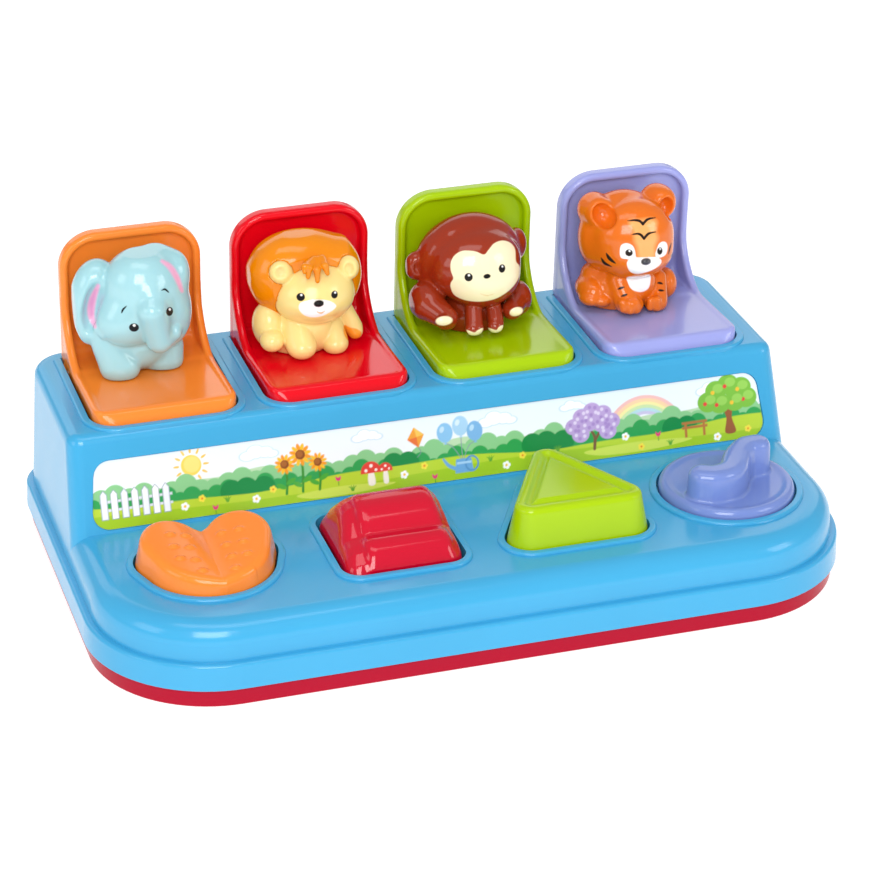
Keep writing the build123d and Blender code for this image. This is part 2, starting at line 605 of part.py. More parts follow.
# ---------------------------------------------------------------- triangle button
TRI_BAR_X, TRI_PIN_Y = 52.0, -46.0
TRI_C = (38.9, -46.6)
with BuildPart() as triangle_inside:
    with BuildSketch(Plane.XY.offset(23.4)):
        add(triangle_plan.sketch)
        offset(amount=-0.6)
    extrude(amount=22.0, taper=6)
with BuildPart() as triangle_button:
    with BuildSketch(Plane.XY.offset(25.0)):
        add(triangle_plan.sketch)
        offset(amount=3.2)
    extrude(amount=8.1)
    with BuildSketch(Plane.XY.offset(Z_DECK)):
        add(triangle_plan.sketch)
        offset(amount=3.2)
    extrude(amount=50.0 - Z_DECK, taper=10.7)
    fillet(triangle_button.faces().sort_by(Axis.Z)[-1].edges(), radius=1.6)
    with BuildSketch(Plane.XY.offset(23.5)):
        add(triangle_plan.sketch)
        offset(amount=3.2 + 2.2)
    extrude(amount=2.2)
    # groove that frames the raised inner triangle
    with BuildSketch(Plane.XY.offset(48.6)):
        add(triangle_plan.sketch)
        offset(amount=-4.1)
        with BuildSketch(mode=Mode.PRIVATE) as tri_core:
            add(triangle_plan.sketch)
            offset(amount=-7.4)
        add(tri_core.sketch, mode=Mode.SUBTRACT)
    extrude(amount=3.0, mode=Mode.SUBTRACT)
    add(triangle_inside.part, mode=Mode.SUBTRACT)
    with Locations((38.9, -47.0, 35.0)):
        Cylinder(radius=8.2, height=23.0)
    with Locations((TRI_BAR_X - 3.6, TRI_PIN_Y, 29.3)):
        Box(2.5, 7.0, 34.0)
    with Locations((TRI_BAR_X - 0.6, TRI_PIN_Y, PUSH_PIN_Z)):
        Cylinder(radius=PIN_R, height=6.5, rotation=(0, 90, 0))
triangle_button.part.label = "triangle_button"
print("triangle", triangle_button.part.volume, len(triangle_button.part.solids()), triangle_button.part.is_valid)
export_step(triangle_button.part, "parts/triangle_button.step")

# ---------------------------------------------------------------- ribbed rocker
ROCK_BAR_X = -46.0
ROCK_MID = (ROCK_X0 + ROCK_X1) / 2
with BuildPart() as rocker_body:
    with BuildSketch(Plane.YZ):            # centre profile with its steps
        with BuildLine():
            Polyline((ROCK_Y1, 24.0), (ROCK_Y1, 31.5), (-20.6, 34), (-24.6, 42), (-30.6, 48.2), (-35.6, 50.4),
                     (-41.6, 49.9), (-47.4, 47.0), (-52.4, 42.0), (-55.4, 42.6), (-60.4, 40.9), (-64.6, 36.8),
                     (ROCK_Y0, 32.5), (ROCK_Y0, 29.2), (-65.6, 29.2), (-62.0, 25.6), close=True)
        make_face()
    extrude(amount=60, both=True)
    with BuildSketch(Plane.XZ.offset(-10)):    # cheeks sloping out to the base
        with BuildLine():
            Polyline((ROCK_X0, 20), (ROCK_X0, 33.0), (-51.2, 45.0), (-46.8, 49.0), (-46.8, 51), (-16.7, 51),
                     (-16.7, 49.0), (-12.3, 45.0), (ROCK_X1, 33.0), (ROCK_X1, 20), close=True)
        make_face()
    extrude(amount=90, mode=Mode.INTERSECT)
with BuildPart() as ribbed_rocker:
    add(rocker_body.part)
    with BuildSketch(Plane.XY.offset(20)):
        add(rocker_plan.sketch)
    extrude(amount=40, mode=Mode.INTERSECT)
    # hollow from below
    with BuildSketch(Plane.YZ.offset(ROCK_MID)):
        with BuildLine():
            Polyline((-21.2, 20), (-21.2, 32), (-27.0, 39.5), (-34.6, 45.4), (-58.0, 37.6), (-62.6, 33.2), (-64.3, 29),
                     (-64.3, 20), close=True)
        make_face()
    extrude(amount=15.5, both=True, mode=Mode.SUBTRACT)
    # bearing webs and crank arm
    for wx in (ROCK_X0 + 6.0, ROCK_X1 - 6.0):
        with Locations((wx, ROCK_PY, ROCK_PZ)):
            Cylinder(radius=3.9, height=5.0, rotation=(0, 90, 0))
    with Locations((ROCK_BAR_X + 3.6, ROCK_PY, 24.3)):
        Box(2.5, 6.0, 24.2)
    with Locations((ROCK_BAR_X + 0.6, ROCK_PY, ROCK_PZ - ROCK_CRANK)):
        Cylinder(radius=PIN_R, height=6.5, rotation=(0, 90, 0))
    # lip that stops under the deck
    with Locations((ROCK_MID, -18.9, 24.5)):
        Box(26.0, 5.0, 2.2)
    with Locations((ROCK_MID, ROCK_PY, ROCK_PZ)):
        Cylinder(radius=BORE_R, height=60.0, rotation=(0, 90, 0), mode=Mode.SUBTRACT)
ribbed_rocker.part.label = "ribbed_rocker"
print("rocker", ribbed_rocker.part.volume, len(ribbed_rocker.part.solids()), ribbed_rocker.part.is_valid)
export_step(ribbed_rocker.part, "parts/ribbed_rocker.step")

with BuildPart() as rocker_pin:
    with Locations((ROCK_MID, ROCK_PY, ROCK_PZ)):
        Cylinder(radius=PIN_R, height=53.5, rotation=(0, 90, 0))
rocker_pin.part.label = "rocker_pin"
export_step(rocker_pin.part, "parts/rocker_pin.step")

# ---------------------------------------------------------------- swirl dial
SWIRL = [(94.2, -50.6), (98.5, -52.0), (103.2, -51.0), (107.2, -47.6), (110.0, -43.4), (113.0, -39.4), (117.0, -37.0),
         (121.8, -37.6)]
SWIRL_R = 5.9
with BuildPart() as swirl_dial:
    with BuildSketch(Plane.XY.offset(31.0)):
        with Locations((DIAL_X, DIAL_Y)):
            Circle(DIAL_R)
    extrude(amount=7.0)
    fillet(swirl_dial.faces().sort_by(Axis.Z)[-1].edges(), radius=2.6)
    with BuildSketch(Plane.XY.offset(36.8)):
        with Locations((DIAL_X, DIAL_Y)):
            Circle(DIAL_R - 3.6)
    extrude(amount=3.0, mode=Mode.SUBTRACT)
    with BuildSketch(Plane.XY.offset(36.0)):
        for a, b in zip(SWIRL[:-1], SWIRL[1:]):
            with Locations(a, b):
                Circle(SWIRL_R)
            SlotCenterPoint(((a[0] + b[0]) / 2, (a[1] + b[1]) / 2), b, 2 * SWIRL_R)
    extrude(amount=13.6)
    with Locations((DIAL_X, DIAL_Y, 29.3)):
        Cylinder(radius=7.0, height=4.2)
    with Locations((DIAL_X, DIAL_Y, 30.7)):
        Cylinder(radius=10.0, height=0.7)
    with Locations((DIAL_X, DIAL_Y, 31.6)):
        Cylinder(radius=PIN_R + 0.02, height=9.0, mode=Mode.SUBTRACT)
swirl_dial.part.label = "swirl_dial"
print("dial", swirl_dial.part.volume, len(swirl_dial.part.solids()), swirl_dial.part.is_valid)
export_step(swirl_dial.part, "parts/swirl_dial.step")

with BuildPart() as dial_crank:
    with Locations((DIAL_X, DIAL_Y, 25.95)):
        Cylinder(radius=10.5, height=2.5)
    with Locations((DIAL_X + CRANK_R, DIAL_Y, 19.8)):
        Cylinder(radius=PIN_R, height=10.0)
    with Locations((DIAL_X, DIAL_Y, 26)):
        Cylinder(radius=1.7, height=5.0, mode=Mode.SUBTRACT)
dial_crank.part.label = "dial_crank"
export_step(dial_crank.part, "parts/dial_crank.step")

with BuildPart() as dial_screw:
    with Locations((DIAL_X, DIAL_Y, 23.6)):
        Cylinder(radius=2.8, height=2.2)
    with Locations((DIAL_X, DIAL_Y, 29.6)):
        Cylinder(radius=PIN_R, height=11.0)
    with Locations((DIAL_X, DIAL_Y, 22.8)):
        Box(3.6, 0.7, 0.8, mode=Mode.SUBTRACT)
        Box(0.7, 3.6, 0.8, mode=Mode.SUBTRACT)
dial_screw.part.label = "dial_screw"
export_step(dial_screw.part, "parts/dial_screw.step")

# ---------------------------------------------------------------- return springs


def coil(radius, wire, z0, z1, turns):
    """Close-wound look of a compression spring: a thin ribbed sleeve."""
    pitch = (z1 - z0 - 2 * wire) / (turns - 1)
    with BuildPart() as spring:
        with BuildSketch(Plane.XZ):
            with Locations((radius, (z0 + z1) / 2)):
                Rectangle(0.5, z1 - z0 - 2 * wire)
            with Locations([(radius, z0 + wire + pitch * k) for k in range(turns)]):
                Circle(wire)
        revolve(axis=Axis.Z)
    return spring.part


heart_spring = placed(coil(6.5, 0.55, 2.55, 23.45, 8), HEART_X, HEART_Y - 2.0)
heart_spring.label = "heart_spring"
export_step(heart_spring, "parts/heart_spring.step")
triangle_spring = placed(coil(6.5, 0.55, 2.55, 23.45, 8), 38.9, -47.0)
triangle_spring.label = "triangle_spring"
export_step(triangle_spring, "parts/triangle_spring.step")

# torsion springs of the rocker and the dial, fixed to the housing side
with BuildPart() as rocker_spring:
    with BuildSketch(Plane.XY):
        with BuildLine():
            Polyline((-4.8, 1.85), (4.8, 1.85), (4.8, 2.35), (-4.8, 2.35), close=True)
        make_face()
        with Locations([(-4.4 + 1.1 * k, 2.15) for k in range(9)]):
            Circle(0.4)
    revolve(axis=Axis.X)
    with Locations((4.4, 0, -6.5)):
        Cylinder(radius=0.4, height=8.6)
spring_item = placed(rocker_spring.part, ROCK_MID + 8.0, ROCK_PY, ROCK_PZ)
spring_item.label = "rocker_spring"
export_step(spring_item, "parts/rocker_spring.step")

dial_spring = placed(coil(12.4, 0.5, 24.6, 27.4, 3), DIAL_X, DIAL_Y)
dial_spring.label = "dial_spring"
export_step(dial_spring, "parts/dial_spring.step")

# ---------------------------------------------------------------- latch bars
BAR_HW = 3.5
SLOT_W = 2 * PIN_R + 0.6
DIAL_BAR_X = 120.0
DIAL_SWEEP = 40.0


def bar_blank(x, y_front):
    """Flat bar on the floor with a nose at its rear end."""
    with BuildPart() as bar:
        with Locations((x, (y_front + BAR_NOSE_Y) / 2, (BAR_Z0 + BAR_Z1) / 2)):
            Box(2 * BAR_HW, BAR_NOSE_Y - y_front, BAR_Z1 - BAR_Z0)
        with BuildSketch(Plane.YZ.offset(x)):
            with BuildLine():
                Polyline((45.5, BAR_Z1 - 0.5), (BAR_NOSE_Y, BAR_Z1 - 0.5), (BAR_NOSE_Y, 7.7), (49.6, 7.7), close=True)
            make_face()
        extrude(amount=BAR_HW, both=True)
    return bar.part


def finned(x, y0, y1, top, a, b):
    """Bar with an upright fin whose slot runs from a to b, given as (y, z)."""
    blank = bar_blank(x, y0)
    with BuildPart() as bar:
        add(blank)
        with BuildSketch(Plane.YZ.offset(x)):
            with Locations(((y0 + y1) / 2, (BAR_Z1 - 0.5 + top) / 2)):
                Rectangle(y1 - y0, top - BAR_Z1 + 0.5)
            SlotCenterPoint(((a[0] + b[0]) / 2, (a[1] + b[1]) / 2), b, SLOT_W, mode=Mode.SUBTRACT)
        extrude(amount=1.5, both=True)
    return bar.part


heart_latch = finned(HEART_BAR_X, -36.0, -22.8, 18.8, (HEART_PIN_Y, PUSH_PIN_Z),
                     (HEART_PIN_Y + HEART_TRAVEL / 2, PUSH_PIN_Z - HEART_TRAVEL))
triangle_latch = finned(TRI_BAR_X, -52.0, -37.5, 18.8, (TRI_PIN_Y, PUSH_PIN_Z),
                        (TRI_PIN_Y + TRI_TRAVEL / 2, PUSH_PIN_Z - TRI_TRAVEL))
rocker_latch = finned(ROCK_BAR_X, -67.0, -55.8, 18.5, (ROCK_PY, ROCK_PZ - ROCK_CRANK),
                      (ROCK_PY, ROCK_PZ - ROCK_CRANK + 0.4))
dial_blank = bar_blank(DIAL_BAR_X, DIAL_Y - 4.4)
with BuildPart() as dial_latch:
    add(dial_blank)
    with Locations((DIAL_BAR_X, DIAL_Y, (BAR_Z1 - 0.5 + 18.4) / 2)):
        Box(2 * BAR_HW, 8.8, 18.4 - BAR_Z1 + 0.5)
    with Locations((115.0, DIAL_Y, 17.2)):
        Box(17.0, 8.8, 2.4)
    with BuildSketch(Plane.XY.offset(14.0)):
        SlotCenterPoint((DIAL_X + CRANK_R - 0.6, DIAL_Y), (DIAL_X + CRANK_R, DIAL_Y), SLOT_W)
    extrude(amount=6.0, mode=Mode.SUBTRACT)

for name, bar in (("heart_latch", heart_latch), ("triangle_latch", triangle_latch), ("rocker_latch", rocker_latch),
                  ("dial_latch", dial_latch.part)):
    bar.label = name
    print(name, bar.volume, len(bar.solids()), bar.is_valid)
    export_step(bar, "parts/" + name + ".step")
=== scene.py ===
import bpy
import math
import numpy as np
from mathutils import Matrix, Vector


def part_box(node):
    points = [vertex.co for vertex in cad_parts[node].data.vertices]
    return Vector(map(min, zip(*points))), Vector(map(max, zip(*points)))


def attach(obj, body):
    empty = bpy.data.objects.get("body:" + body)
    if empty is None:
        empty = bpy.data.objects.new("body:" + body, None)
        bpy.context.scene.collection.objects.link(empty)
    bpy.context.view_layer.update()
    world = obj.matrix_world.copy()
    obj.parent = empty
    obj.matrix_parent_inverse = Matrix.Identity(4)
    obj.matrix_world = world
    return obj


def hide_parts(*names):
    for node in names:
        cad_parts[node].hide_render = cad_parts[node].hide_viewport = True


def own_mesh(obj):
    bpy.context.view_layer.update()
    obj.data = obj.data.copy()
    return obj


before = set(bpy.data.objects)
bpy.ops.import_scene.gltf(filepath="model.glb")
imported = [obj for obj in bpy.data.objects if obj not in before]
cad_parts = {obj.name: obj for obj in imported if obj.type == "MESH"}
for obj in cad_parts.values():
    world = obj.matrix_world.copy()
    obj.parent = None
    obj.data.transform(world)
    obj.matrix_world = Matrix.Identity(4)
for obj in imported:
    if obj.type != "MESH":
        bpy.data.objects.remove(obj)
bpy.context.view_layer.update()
MM = 0.001


# ------------------------------------------------------------------ materials
def material(name, base, rough=0.2, coat=0.12, sss=0.12, spec=0.32, radius=(0.004, 0.003, 0.002), speckle=0.02, bump=0.015,
             metal=0.0, ior=1.5, orange_peel=60.0):
    """Moulded plastic: base colour with faint flow variation, soft sub-surface glow, fine surface ripple."""
    m = bpy.data.materials.new(name)
    m.use_nodes = True
    nt = m.node_tree
    nt.nodes.clear()
    out = nt.nodes.new("ShaderNodeOutputMaterial")
    b = nt.nodes.new("ShaderNodeBsdfPrincipled")
    nt.links.new(b.outputs[0], out.inputs[0])
    b.inputs["Metallic"].default_value = metal
    b.inputs["IOR"].default_value = ior
    b.inputs["Coat Weight"].default_value = coat
    b.inputs["Specular IOR Level"].default_value = 0.5 if metal else spec
    b.inputs["Coat Roughness"].default_value = 0.05
    if sss:
        b.inputs["Subsurface Weight"].default_value = sss
        b.inputs["Subsurface Radius"].default_value = radius
        b.inputs["Subsurface Scale"].default_value = 1.0
    tc = nt.nodes.new("ShaderNodeTexCoord")
    flow = nt.nodes.new("ShaderNodeTexNoise")
    flow.inputs["Scale"].default_value = 18.0
    flow.inputs["Detail"].default_value = 3.0
    nt.links.new(tc.outputs["Object"], flow.inputs["Vector"])
    hsv = nt.nodes.new("ShaderNodeHueSaturation")
    hsv.inputs["Color"].default_value = (*base, 1)
    vr = nt.nodes.new("ShaderNodeMapRange")
    vr.inputs["From Min"].default_value = 0.3
    vr.inputs["From Max"].default_value = 0.7
    vr.inputs["To Min"].default_value = 1.0 - speckle
    vr.inputs["To Max"].default_value = 1.0 + speckle
    nt.links.new(flow.outputs["Fac"], vr.inputs["Value"])
    nt.links.new(vr.outputs["Result"], hsv.inputs["Value"])
    nt.links.new(hsv.outputs["Color"], b.inputs["Base Color"])
    rr = nt.nodes.new("ShaderNodeMapRange")
    rr.inputs["From Min"].default_value = 0.3
    rr.inputs["From Max"].default_value = 0.7
    rr.inputs["To Min"].default_value = max(rough - 0.03, 0.02)
    rr.inputs["To Max"].default_value = rough + 0.03
    fine = nt.nodes.new("ShaderNodeTexNoise")
    fine.inputs["Scale"].default_value = orange_peel
    fine.inputs["Detail"].default_value = 2.0
    nt.links.new(tc.outputs["Object"], fine.inputs["Vector"])
    nt.links.new(fine.outputs["Fac"], rr.inputs["Value"])
    nt.links.new(rr.outputs["Result"], b.inputs["Roughness"])
    bp = nt.nodes.new("ShaderNodeBump")
    bp.inputs["Strength"].default_value = bump
    bp.inputs["Distance"].default_value = 0.002
    nt.links.new(fine.outputs["Fac"], bp.inputs["Height"])
    nt.links.new(bp.outputs["Normal"], b.inputs["Normal"])
    m["hsv"] = hsv.name
    m["bsdf"] = b.name
    return m


BLUE = material("sky_blue_abs", (0.050, 0.375, 0.66), rough=0.20, sss=0.04, spec=0.38)
RED = material("base_red_abs", (0.42, 0.001, 0.022), rough=0.22, coat=0.0, sss=0.02, spec=0.16)
ORANGE = material("orange_abs", (0.95, 0.250, 0.030), rough=0.17, sss=0.08)
CRIMSON = material("crimson_abs", (0.78, 0.0006, 0.010), rough=0.12, sss=0.04, spec=0.30)
ROCKER = material("rocker_abs", (0.60, 0.0006, 0.022), rough=0.10, sss=0.04, spec=0.42)
LIME = material("lime_abs", (0.38, 0.58, 0.001), rough=0.17, sss=0.08, spec=0.26)
LAV = material("lavender_abs", (0.34, 0.37, 0.76), rough=0.17, sss=0.08, spec=0.45)
DIAL = material("dial_abs", (0.18, 0.26, 0.60), rough=0.16, sss=0.08, spec=0.45)
WHITE = material("white_pom", (0.82, 0.82, 0.79), rough=0.35, coat=0.0)
STEEL = material("zinc_steel", (0.60, 0.61, 0.63), rough=0.28, coat=0.0, sss=0.0, metal=1.0, speckle=0.05)
MINT = material("mint_abs", (0.35, 0.62, 0.67), rough=0.14, sss=0.10, spec=0.5)
CREAM = material("cream_abs", (0.90, 0.70, 0.26), rough=0.18, sss=0.10, spec=0.4)
MANE = material("mane_abs", (0.80, 0.24, 0.0), rough=0.14, sss=0.08, spec=0.4)
BROWN = material("brown_abs", (0.31, 0.028, 0.006), rough=0.11, sss=0.04, spec=0.42)
TIGER = material("tiger_abs", (0.78, 0.16, 0.008), rough=0.15, sss=0.08, spec=0.4)


def paint(node, mat):
    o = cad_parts[node]
    if not o.material_slots:
        o.data.materials.append(mat)
    for s in o.material_slots:
        s.link = "OBJECT"
        s.material = mat


LIDMAT = {"elephant": ORANGE, "lion": CRIMSON, "monkey": LIME, "tiger": LAV}
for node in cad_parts:
    if node == "top_housing":
        paint(node, BLUE)
    elif node == "base_plate":
        paint(node, RED)
    elif node.endswith("_lid"):
        paint(node, LIDMAT[node[:-4]])
    elif node.endswith("_latch") or node == "dial_crank":
        paint(node, WHITE)
    elif node.endswith(("_spring", "_screws", "_pins", "_pin", "_screw")):
        paint(node, STEEL)
paint("heart_button", ORANGE)
paint("ribbed_rocker", ROCKER)
paint("triangle_button", LIME)
paint("swirl_dial", DIAL)
paint("picture_label", LIME)
paint("elephant_figure", MINT)
paint("lion_body", CREAM)
paint("lion_mane", MANE)
paint("monkey_figure", BROWN)
paint("tiger_figure", TIGER)

# ------------------------------------------------------------------ stage
bpy.ops.mesh.primitive_plane_add(size=12, location=(0, 0, 0))
floor = bpy.context.object
floor.name = "floor"
fm = bpy.data.materials.new("floor_white")
fm.use_nodes = True
fb = fm.node_tree.nodes["Principled BSDF"]
fb.inputs["Base Color"].default_value = (0.55, 0.55, 0.55, 1)
fb.inputs["Roughness"].default_value = 0.6
fb.inputs["Specular IOR Level"].default_value = 0.15
fb.inputs["Emission Color"].default_value = (1, 1, 1, 1)
fb.inputs["Emission Strength"].default_value = 0.72
floor.data.materials.append(fm)

world = bpy.data.worlds.new("studio")
bpy.context.scene.world = world
world.use_nodes = True
world.node_tree.nodes["Background"].inputs[0].default_value = (1.0, 1.0, 1.0, 1)
world.node_tree.nodes["Background"].inputs[1].default_value = 0.46


def light(name, loc, target, size, energy, size_y=None, color=(1, 1, 1)):
    d = bpy.data.lights.new(name, "AREA")
    d.energy = energy
    d.size = size
    d.color = color
    if size_y:
        d.shape = "RECTANGLE"
        d.size_y = size_y
    o = bpy.data.objects.new(name, d)
    bpy.context.scene.collection.objects.link(o)
    o.location = loc
    o.rotation_euler = (Vector(target) - Vector(loc)).to_track_quat("-Z", "Y").to_euler()
    return o


light("key_front", (-0.35, -1.05, 0.75), (0, 0, 0.05), 0.6, 9.0)
light("key_top", (-0.15, -0.30, 1.2), (0, 0, 0.05), 0.9, 2.4, size_y=0.35)
light("left_soft", (-1.1, -0.3, 0.55), (0, 0, 0.05), 0.5, 1.8)
light("right_soft", (0.85, -0.7, 0.5), (0, 0, 0.05), 0.4, 2.0)
light("back_soft", (0.35, 1.7, 0.95), (0, 0.0, 0.05), 3.0, 11.0, size_y=1.1)

# ------------------------------------------------------------------ camera
AZ, EL = math.radians(-16.926), math.radians(27.191)
right = Vector((math.cos(AZ), math.sin(AZ), 0))
back = Vector((math.sin(AZ) * math.cos(EL), -math.cos(AZ) * math.cos(EL), math.sin(EL)))
up = back.cross(right)
cd = bpy.data.cameras.new("camera")
cam = bpy.data.objects.new("camera", cd)
bpy.context.scene.collection.objects.link(cam)
cam.matrix_world = Matrix(((right.x, up.x, back.x, -0.32779), (right.y, up.y, back.y, -1.02564),
                           (right.z, up.z, back.z, 0.60897), (0, 0, 0, 1)))
cd.sensor_fit = "HORIZONTAL"
cd.sensor_width = 36.0
cd.lens = 3062.86 / 870 * 36.0
cd.shift_x = (435 - 397.74) / 870
cd.shift_y = -(435 - 428.07) / 870
cd.clip_start = 0.05
cd.clip_end = 20
cd.dof.use_dof = False
bpy.context.scene.camera = cam
bpy.context.scene.view_settings.view_transform = "Standard"

# ------------------------------------------------------------------ moulded shapes from distance fields
# Everything below is in millimetres in a lid's own frame (x from the lid's centre line) or the row frame.
EYE = np.array([-327.79, -1025.64, 608.97])       # a fixed viewpoint used only to place features along a line
R_, U_, B_ = (np.array(v) for v in (right, up, back))
FOC, PPX, PPY = 3062.86, 397.74, 428.07


def to_px(p):
    d = p - EYE
    w = -(d @ B_)
    return PPX + FOC * (d @ R_) / w, PPY - FOC * (d @ U_) / w


def at(px, py, y, cx=0.0):
    """Point on the plane y along the fixed line of sight, in a frame centred at x = cx."""
    d = R_ * ((px - PPX) / FOC) - U_ * ((py - PPY) / FOC) - B_
    p = EYE + d * ((y - EYE[1]) / d[1])
    return np.array([p[0] - cx, p[1], p[2]])


def length3(x, y, z):
    return np.sqrt(x * x + y * y + z * z)


def ball(p, c, r):
    return length3(p[0] - c[0], p[1] - c[1], p[2] - c[2]) - r


def ellipsoid(p, c, r, roll=0.0, pitch=0.0, yaw=0.0):
    """Ellipsoid; roll turns about Y, pitch about X, yaw about Z, in degrees."""
    x, y, z = p[0] - c[0], p[1] - c[1], p[2] - c[2]
    if yaw:
        a = math.radians(yaw)
        x, y = x * math.cos(a) + y * math.sin(a), -x * math.sin(a) + y * math.cos(a)
    if roll:
        a = math.radians(roll)
        x, z = x * math.cos(a) + z * math.sin(a), -x * math.sin(a) + z * math.cos(a)
    if pitch:
        a = math.radians(pitch)
        y, z = y * math.cos(a) + z * math.sin(a), -y * math.sin(a) + z * math.cos(a)
    k0 = length3(x / r[0], y / r[1], z / r[2])
    k1 = length3(x / (r[0] * r[0]), y / (r[1] * r[1]), z / (r[2] * r[2]))
    return k0 * (k0 - 1.0) / np.maximum(k1, 1e-6)


def limb(p, a, b, ra, rb=None):
    rb = ra if rb is None else rb
    a, b = np.asarray(a, float), np.asarray(b, float)
    d = b - a
    x, y, z = p[0] - a[0], p[1] - a[1], p[2] - a[2]
    t = np.clip((x * d[0] + y * d[1] + z * d[2]) / (d @ d), 0, 1)
    return length3(x - d[0] * t, y - d[1] * t, z - d[2] * t) - (ra + (rb - ra) * t)


def smin(a, b, k):
    h = np.maximum(k - np.abs(a - b), 0.0) / k
    return np.minimum(a, b) - h * h * k * 0.25


def smax(a, b, k):
    return -smin(-a, -b, k)


def union(k, *fs):
    out = fs[0]
    for f in fs[1:]:
        out = smin(out, f, k)
    return out


def surface(name, fn, lo, hi, step, polish=2):
    """Mesh of fn = 0 by surface nets on a grid, then moved onto the surface."""
    n = [int(math.ceil((hi[i] - lo[i]) / step)) + 1 for i in range(3)]
    ax = [lo[i] + step * np.arange(n[i]) for i in range(3)]
    grid = (ax[0][:, None, None], ax[1][None, :, None], ax[2][None, None, :])
    f = np.broadcast_to(fn(grid), n).astype(np.float32)
    f = np.array(f)
    f[0], f[-1], f[:, 0], f[:, -1], f[:, :, 0], f[:, :, -1] = [step] * 6
    s = f < 0
    acc = np.zeros((n[0] - 1, n[1] - 1, n[2] - 1, 3), np.float32)
    cnt = np.zeros((n[0] - 1, n[1] - 1, n[2] - 1), np.float32)
    crossings = []
    for a in range(3):
        b, c = (a + 1) % 3, (a + 2) % 3
        s0 = np.moveaxis(s, (a, b, c), (0, 1, 2))
        f0 = np.moveaxis(f, (a, b, c), (0, 1, 2))
        m = s0[:-1] != s0[1:]
        i, j, k = np.nonzero(m)
        keep = (j > 0) & (k > 0) & (j < s0.shape[1] - 1) & (k < s0.shape[2] - 1)
        i, j, k = i[keep], j[keep], k[keep]
        v0, v1 = f0[i, j, k], f0[i + 1, j, k]
        t = v0 / (v0 - v1)
        pos = np.zeros((len(i), 3), np.float32)
        pos[:, a], pos[:, b], pos[:, c] = i + t, j, k
        cells = []
        for dj, dk in ((-1, -1), (0, -1), (0, 0), (-1, 0)):
            cell = np.zeros((len(i), 3), np.int64)
            cell[:, a], cell[:, b], cell[:, c] = i, j + dj, k + dk
            np.add.at(acc, (cell[:, 0], cell[:, 1], cell[:, 2]), pos)
            np.add.at(cnt, (cell[:, 0], cell[:, 1], cell[:, 2]), 1)
            cells.append(cell)
        crossings.append((cells, s0[i, j, k]))
    used = cnt > 0
    index = -np.ones(used.shape, np.int64)
    index[used] = np.arange(used.sum())
    v = acc[used] / cnt[used][:, None] * step + np.array(lo, np.float32)
    faces = []
    for cells, inside in crossings:
        q = np.stack([index[c[:, 0], c[:, 1], c[:, 2]] for c in cells], 1)
        q[~inside] = q[~inside][:, ::-1]
        faces.append(q)
    faces = np.concatenate(faces)
    v = v.astype(np.float64)

    def ev(p):
        return fn((p[:, 0], p[:, 1], p[:, 2])) + np.zeros(len(p))

    e = 0.05
    for _ in range(polish):
        d0 = ev(v)
        g = np.stack([ev(v + np.eye(3)[i] * e) - ev(v - np.eye(3)[i] * e) for i in range(3)], 1) / (2 * e)
        gg = np.maximum((g * g).sum(1), 0.25)
        v = v - g * np.clip(d0 / gg, -0.5 * step, 0.5 * step)[:, None]
    me = bpy.data.meshes.new(name)
    me.vertices.add(len(v))
    me.vertices.foreach_set("co", v.astype(np.float32).ravel())
    me.loops.add(len(faces) * 4)
    me.loops.foreach_set("vertex_index", faces.astype(np.int32).ravel())
    me.polygons.add(len(faces))
    me.polygons.foreach_set("loop_start", np.arange(0, len(faces) * 4, 4, dtype=np.int32))
    me.polygons.foreach_set("use_smooth", np.ones(len(faces), bool))
    me.update(calc_edges=True)
    me.validate()
    return me, v


def place(me, name, mat, body, cx=0.0, *nodes):
    """Object from a mesh in millimetres, riding on a body."""
    co = np.empty(len(me.vertices) * 3, np.float32)
    me.vertices.foreach_get("co", co)
    co = co.reshape(-1, 3)
    co[:, 0] += cx
    me.vertices.foreach_set("co", (co * MM).ravel())
    me.update()
    o = bpy.data.objects.new(name, me)
    bpy.context.scene.collection.objects.link(o)
    me.materials.append(mat)
    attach(o, body)
    if nodes:
        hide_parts(*nodes)
    return o


def closed_curve(pts, n=8):
    """Smooth closed outline through control points."""
    p = np.asarray(pts, float)
    out = []
    for i in range(len(p)):
        a, b, c, d = p[i - 1], p[i], p[(i + 1) % len(p)], p[(i + 2) % len(p)]
        for t in np.arange(n) / n:
            out.append(0.5 * ((2 * b) + (c - a) * t + (2 * a - 5 * b + 4 * c - d) * t * t + (3 * b - a - 3 * c + d) * t ** 3))
    return np.array(out)


def open_curve(pts, n=8):
    p = np.asarray(pts, float)
    p = np.vstack([2 * p[0] - p[1], p, 2 * p[-1] - p[-2]])
    out = []
    for i in range(1, len(p) - 2):
        a, b, c, d = p[i - 1], p[i], p[i + 1], p[i + 2]
        for t in np.arange(n) / n:
            out.append(0.5 * ((2 * b) + (c - a) * t + (2 * a - 5 * b + 4 * c - d) * t * t + (3 * b - a - 3 * c + d) * t ** 3))
    out.append(p[-2])
    return np.array(out)


def sd_poly(u, v, poly):
    """Signed distance to a closed outline, negative inside."""
    d = np.full(u.shape, 1e18)
    inside = np.zeros(u.shape, bool)
    for i in range(len(poly)):
        a, b = poly[i - 1], poly[i]
        e = b - a
        wx, wy = u - a[0], v - a[1]
        t = np.clip((wx * e[0] + wy * e[1]) / max(e @ e, 1e-12), 0, 1)
        d = np.minimum(d, (wx - e[0] * t) ** 2 + (wy - e[1] * t) ** 2)
        c = (a[1] > v) != (b[1] > v)
        if e[1] != 0:
            inside ^= c & (u < e[0] * (v - a[1]) / e[1] + a[0])
    d = np.sqrt(d)
    return np.where(inside, -d, d)


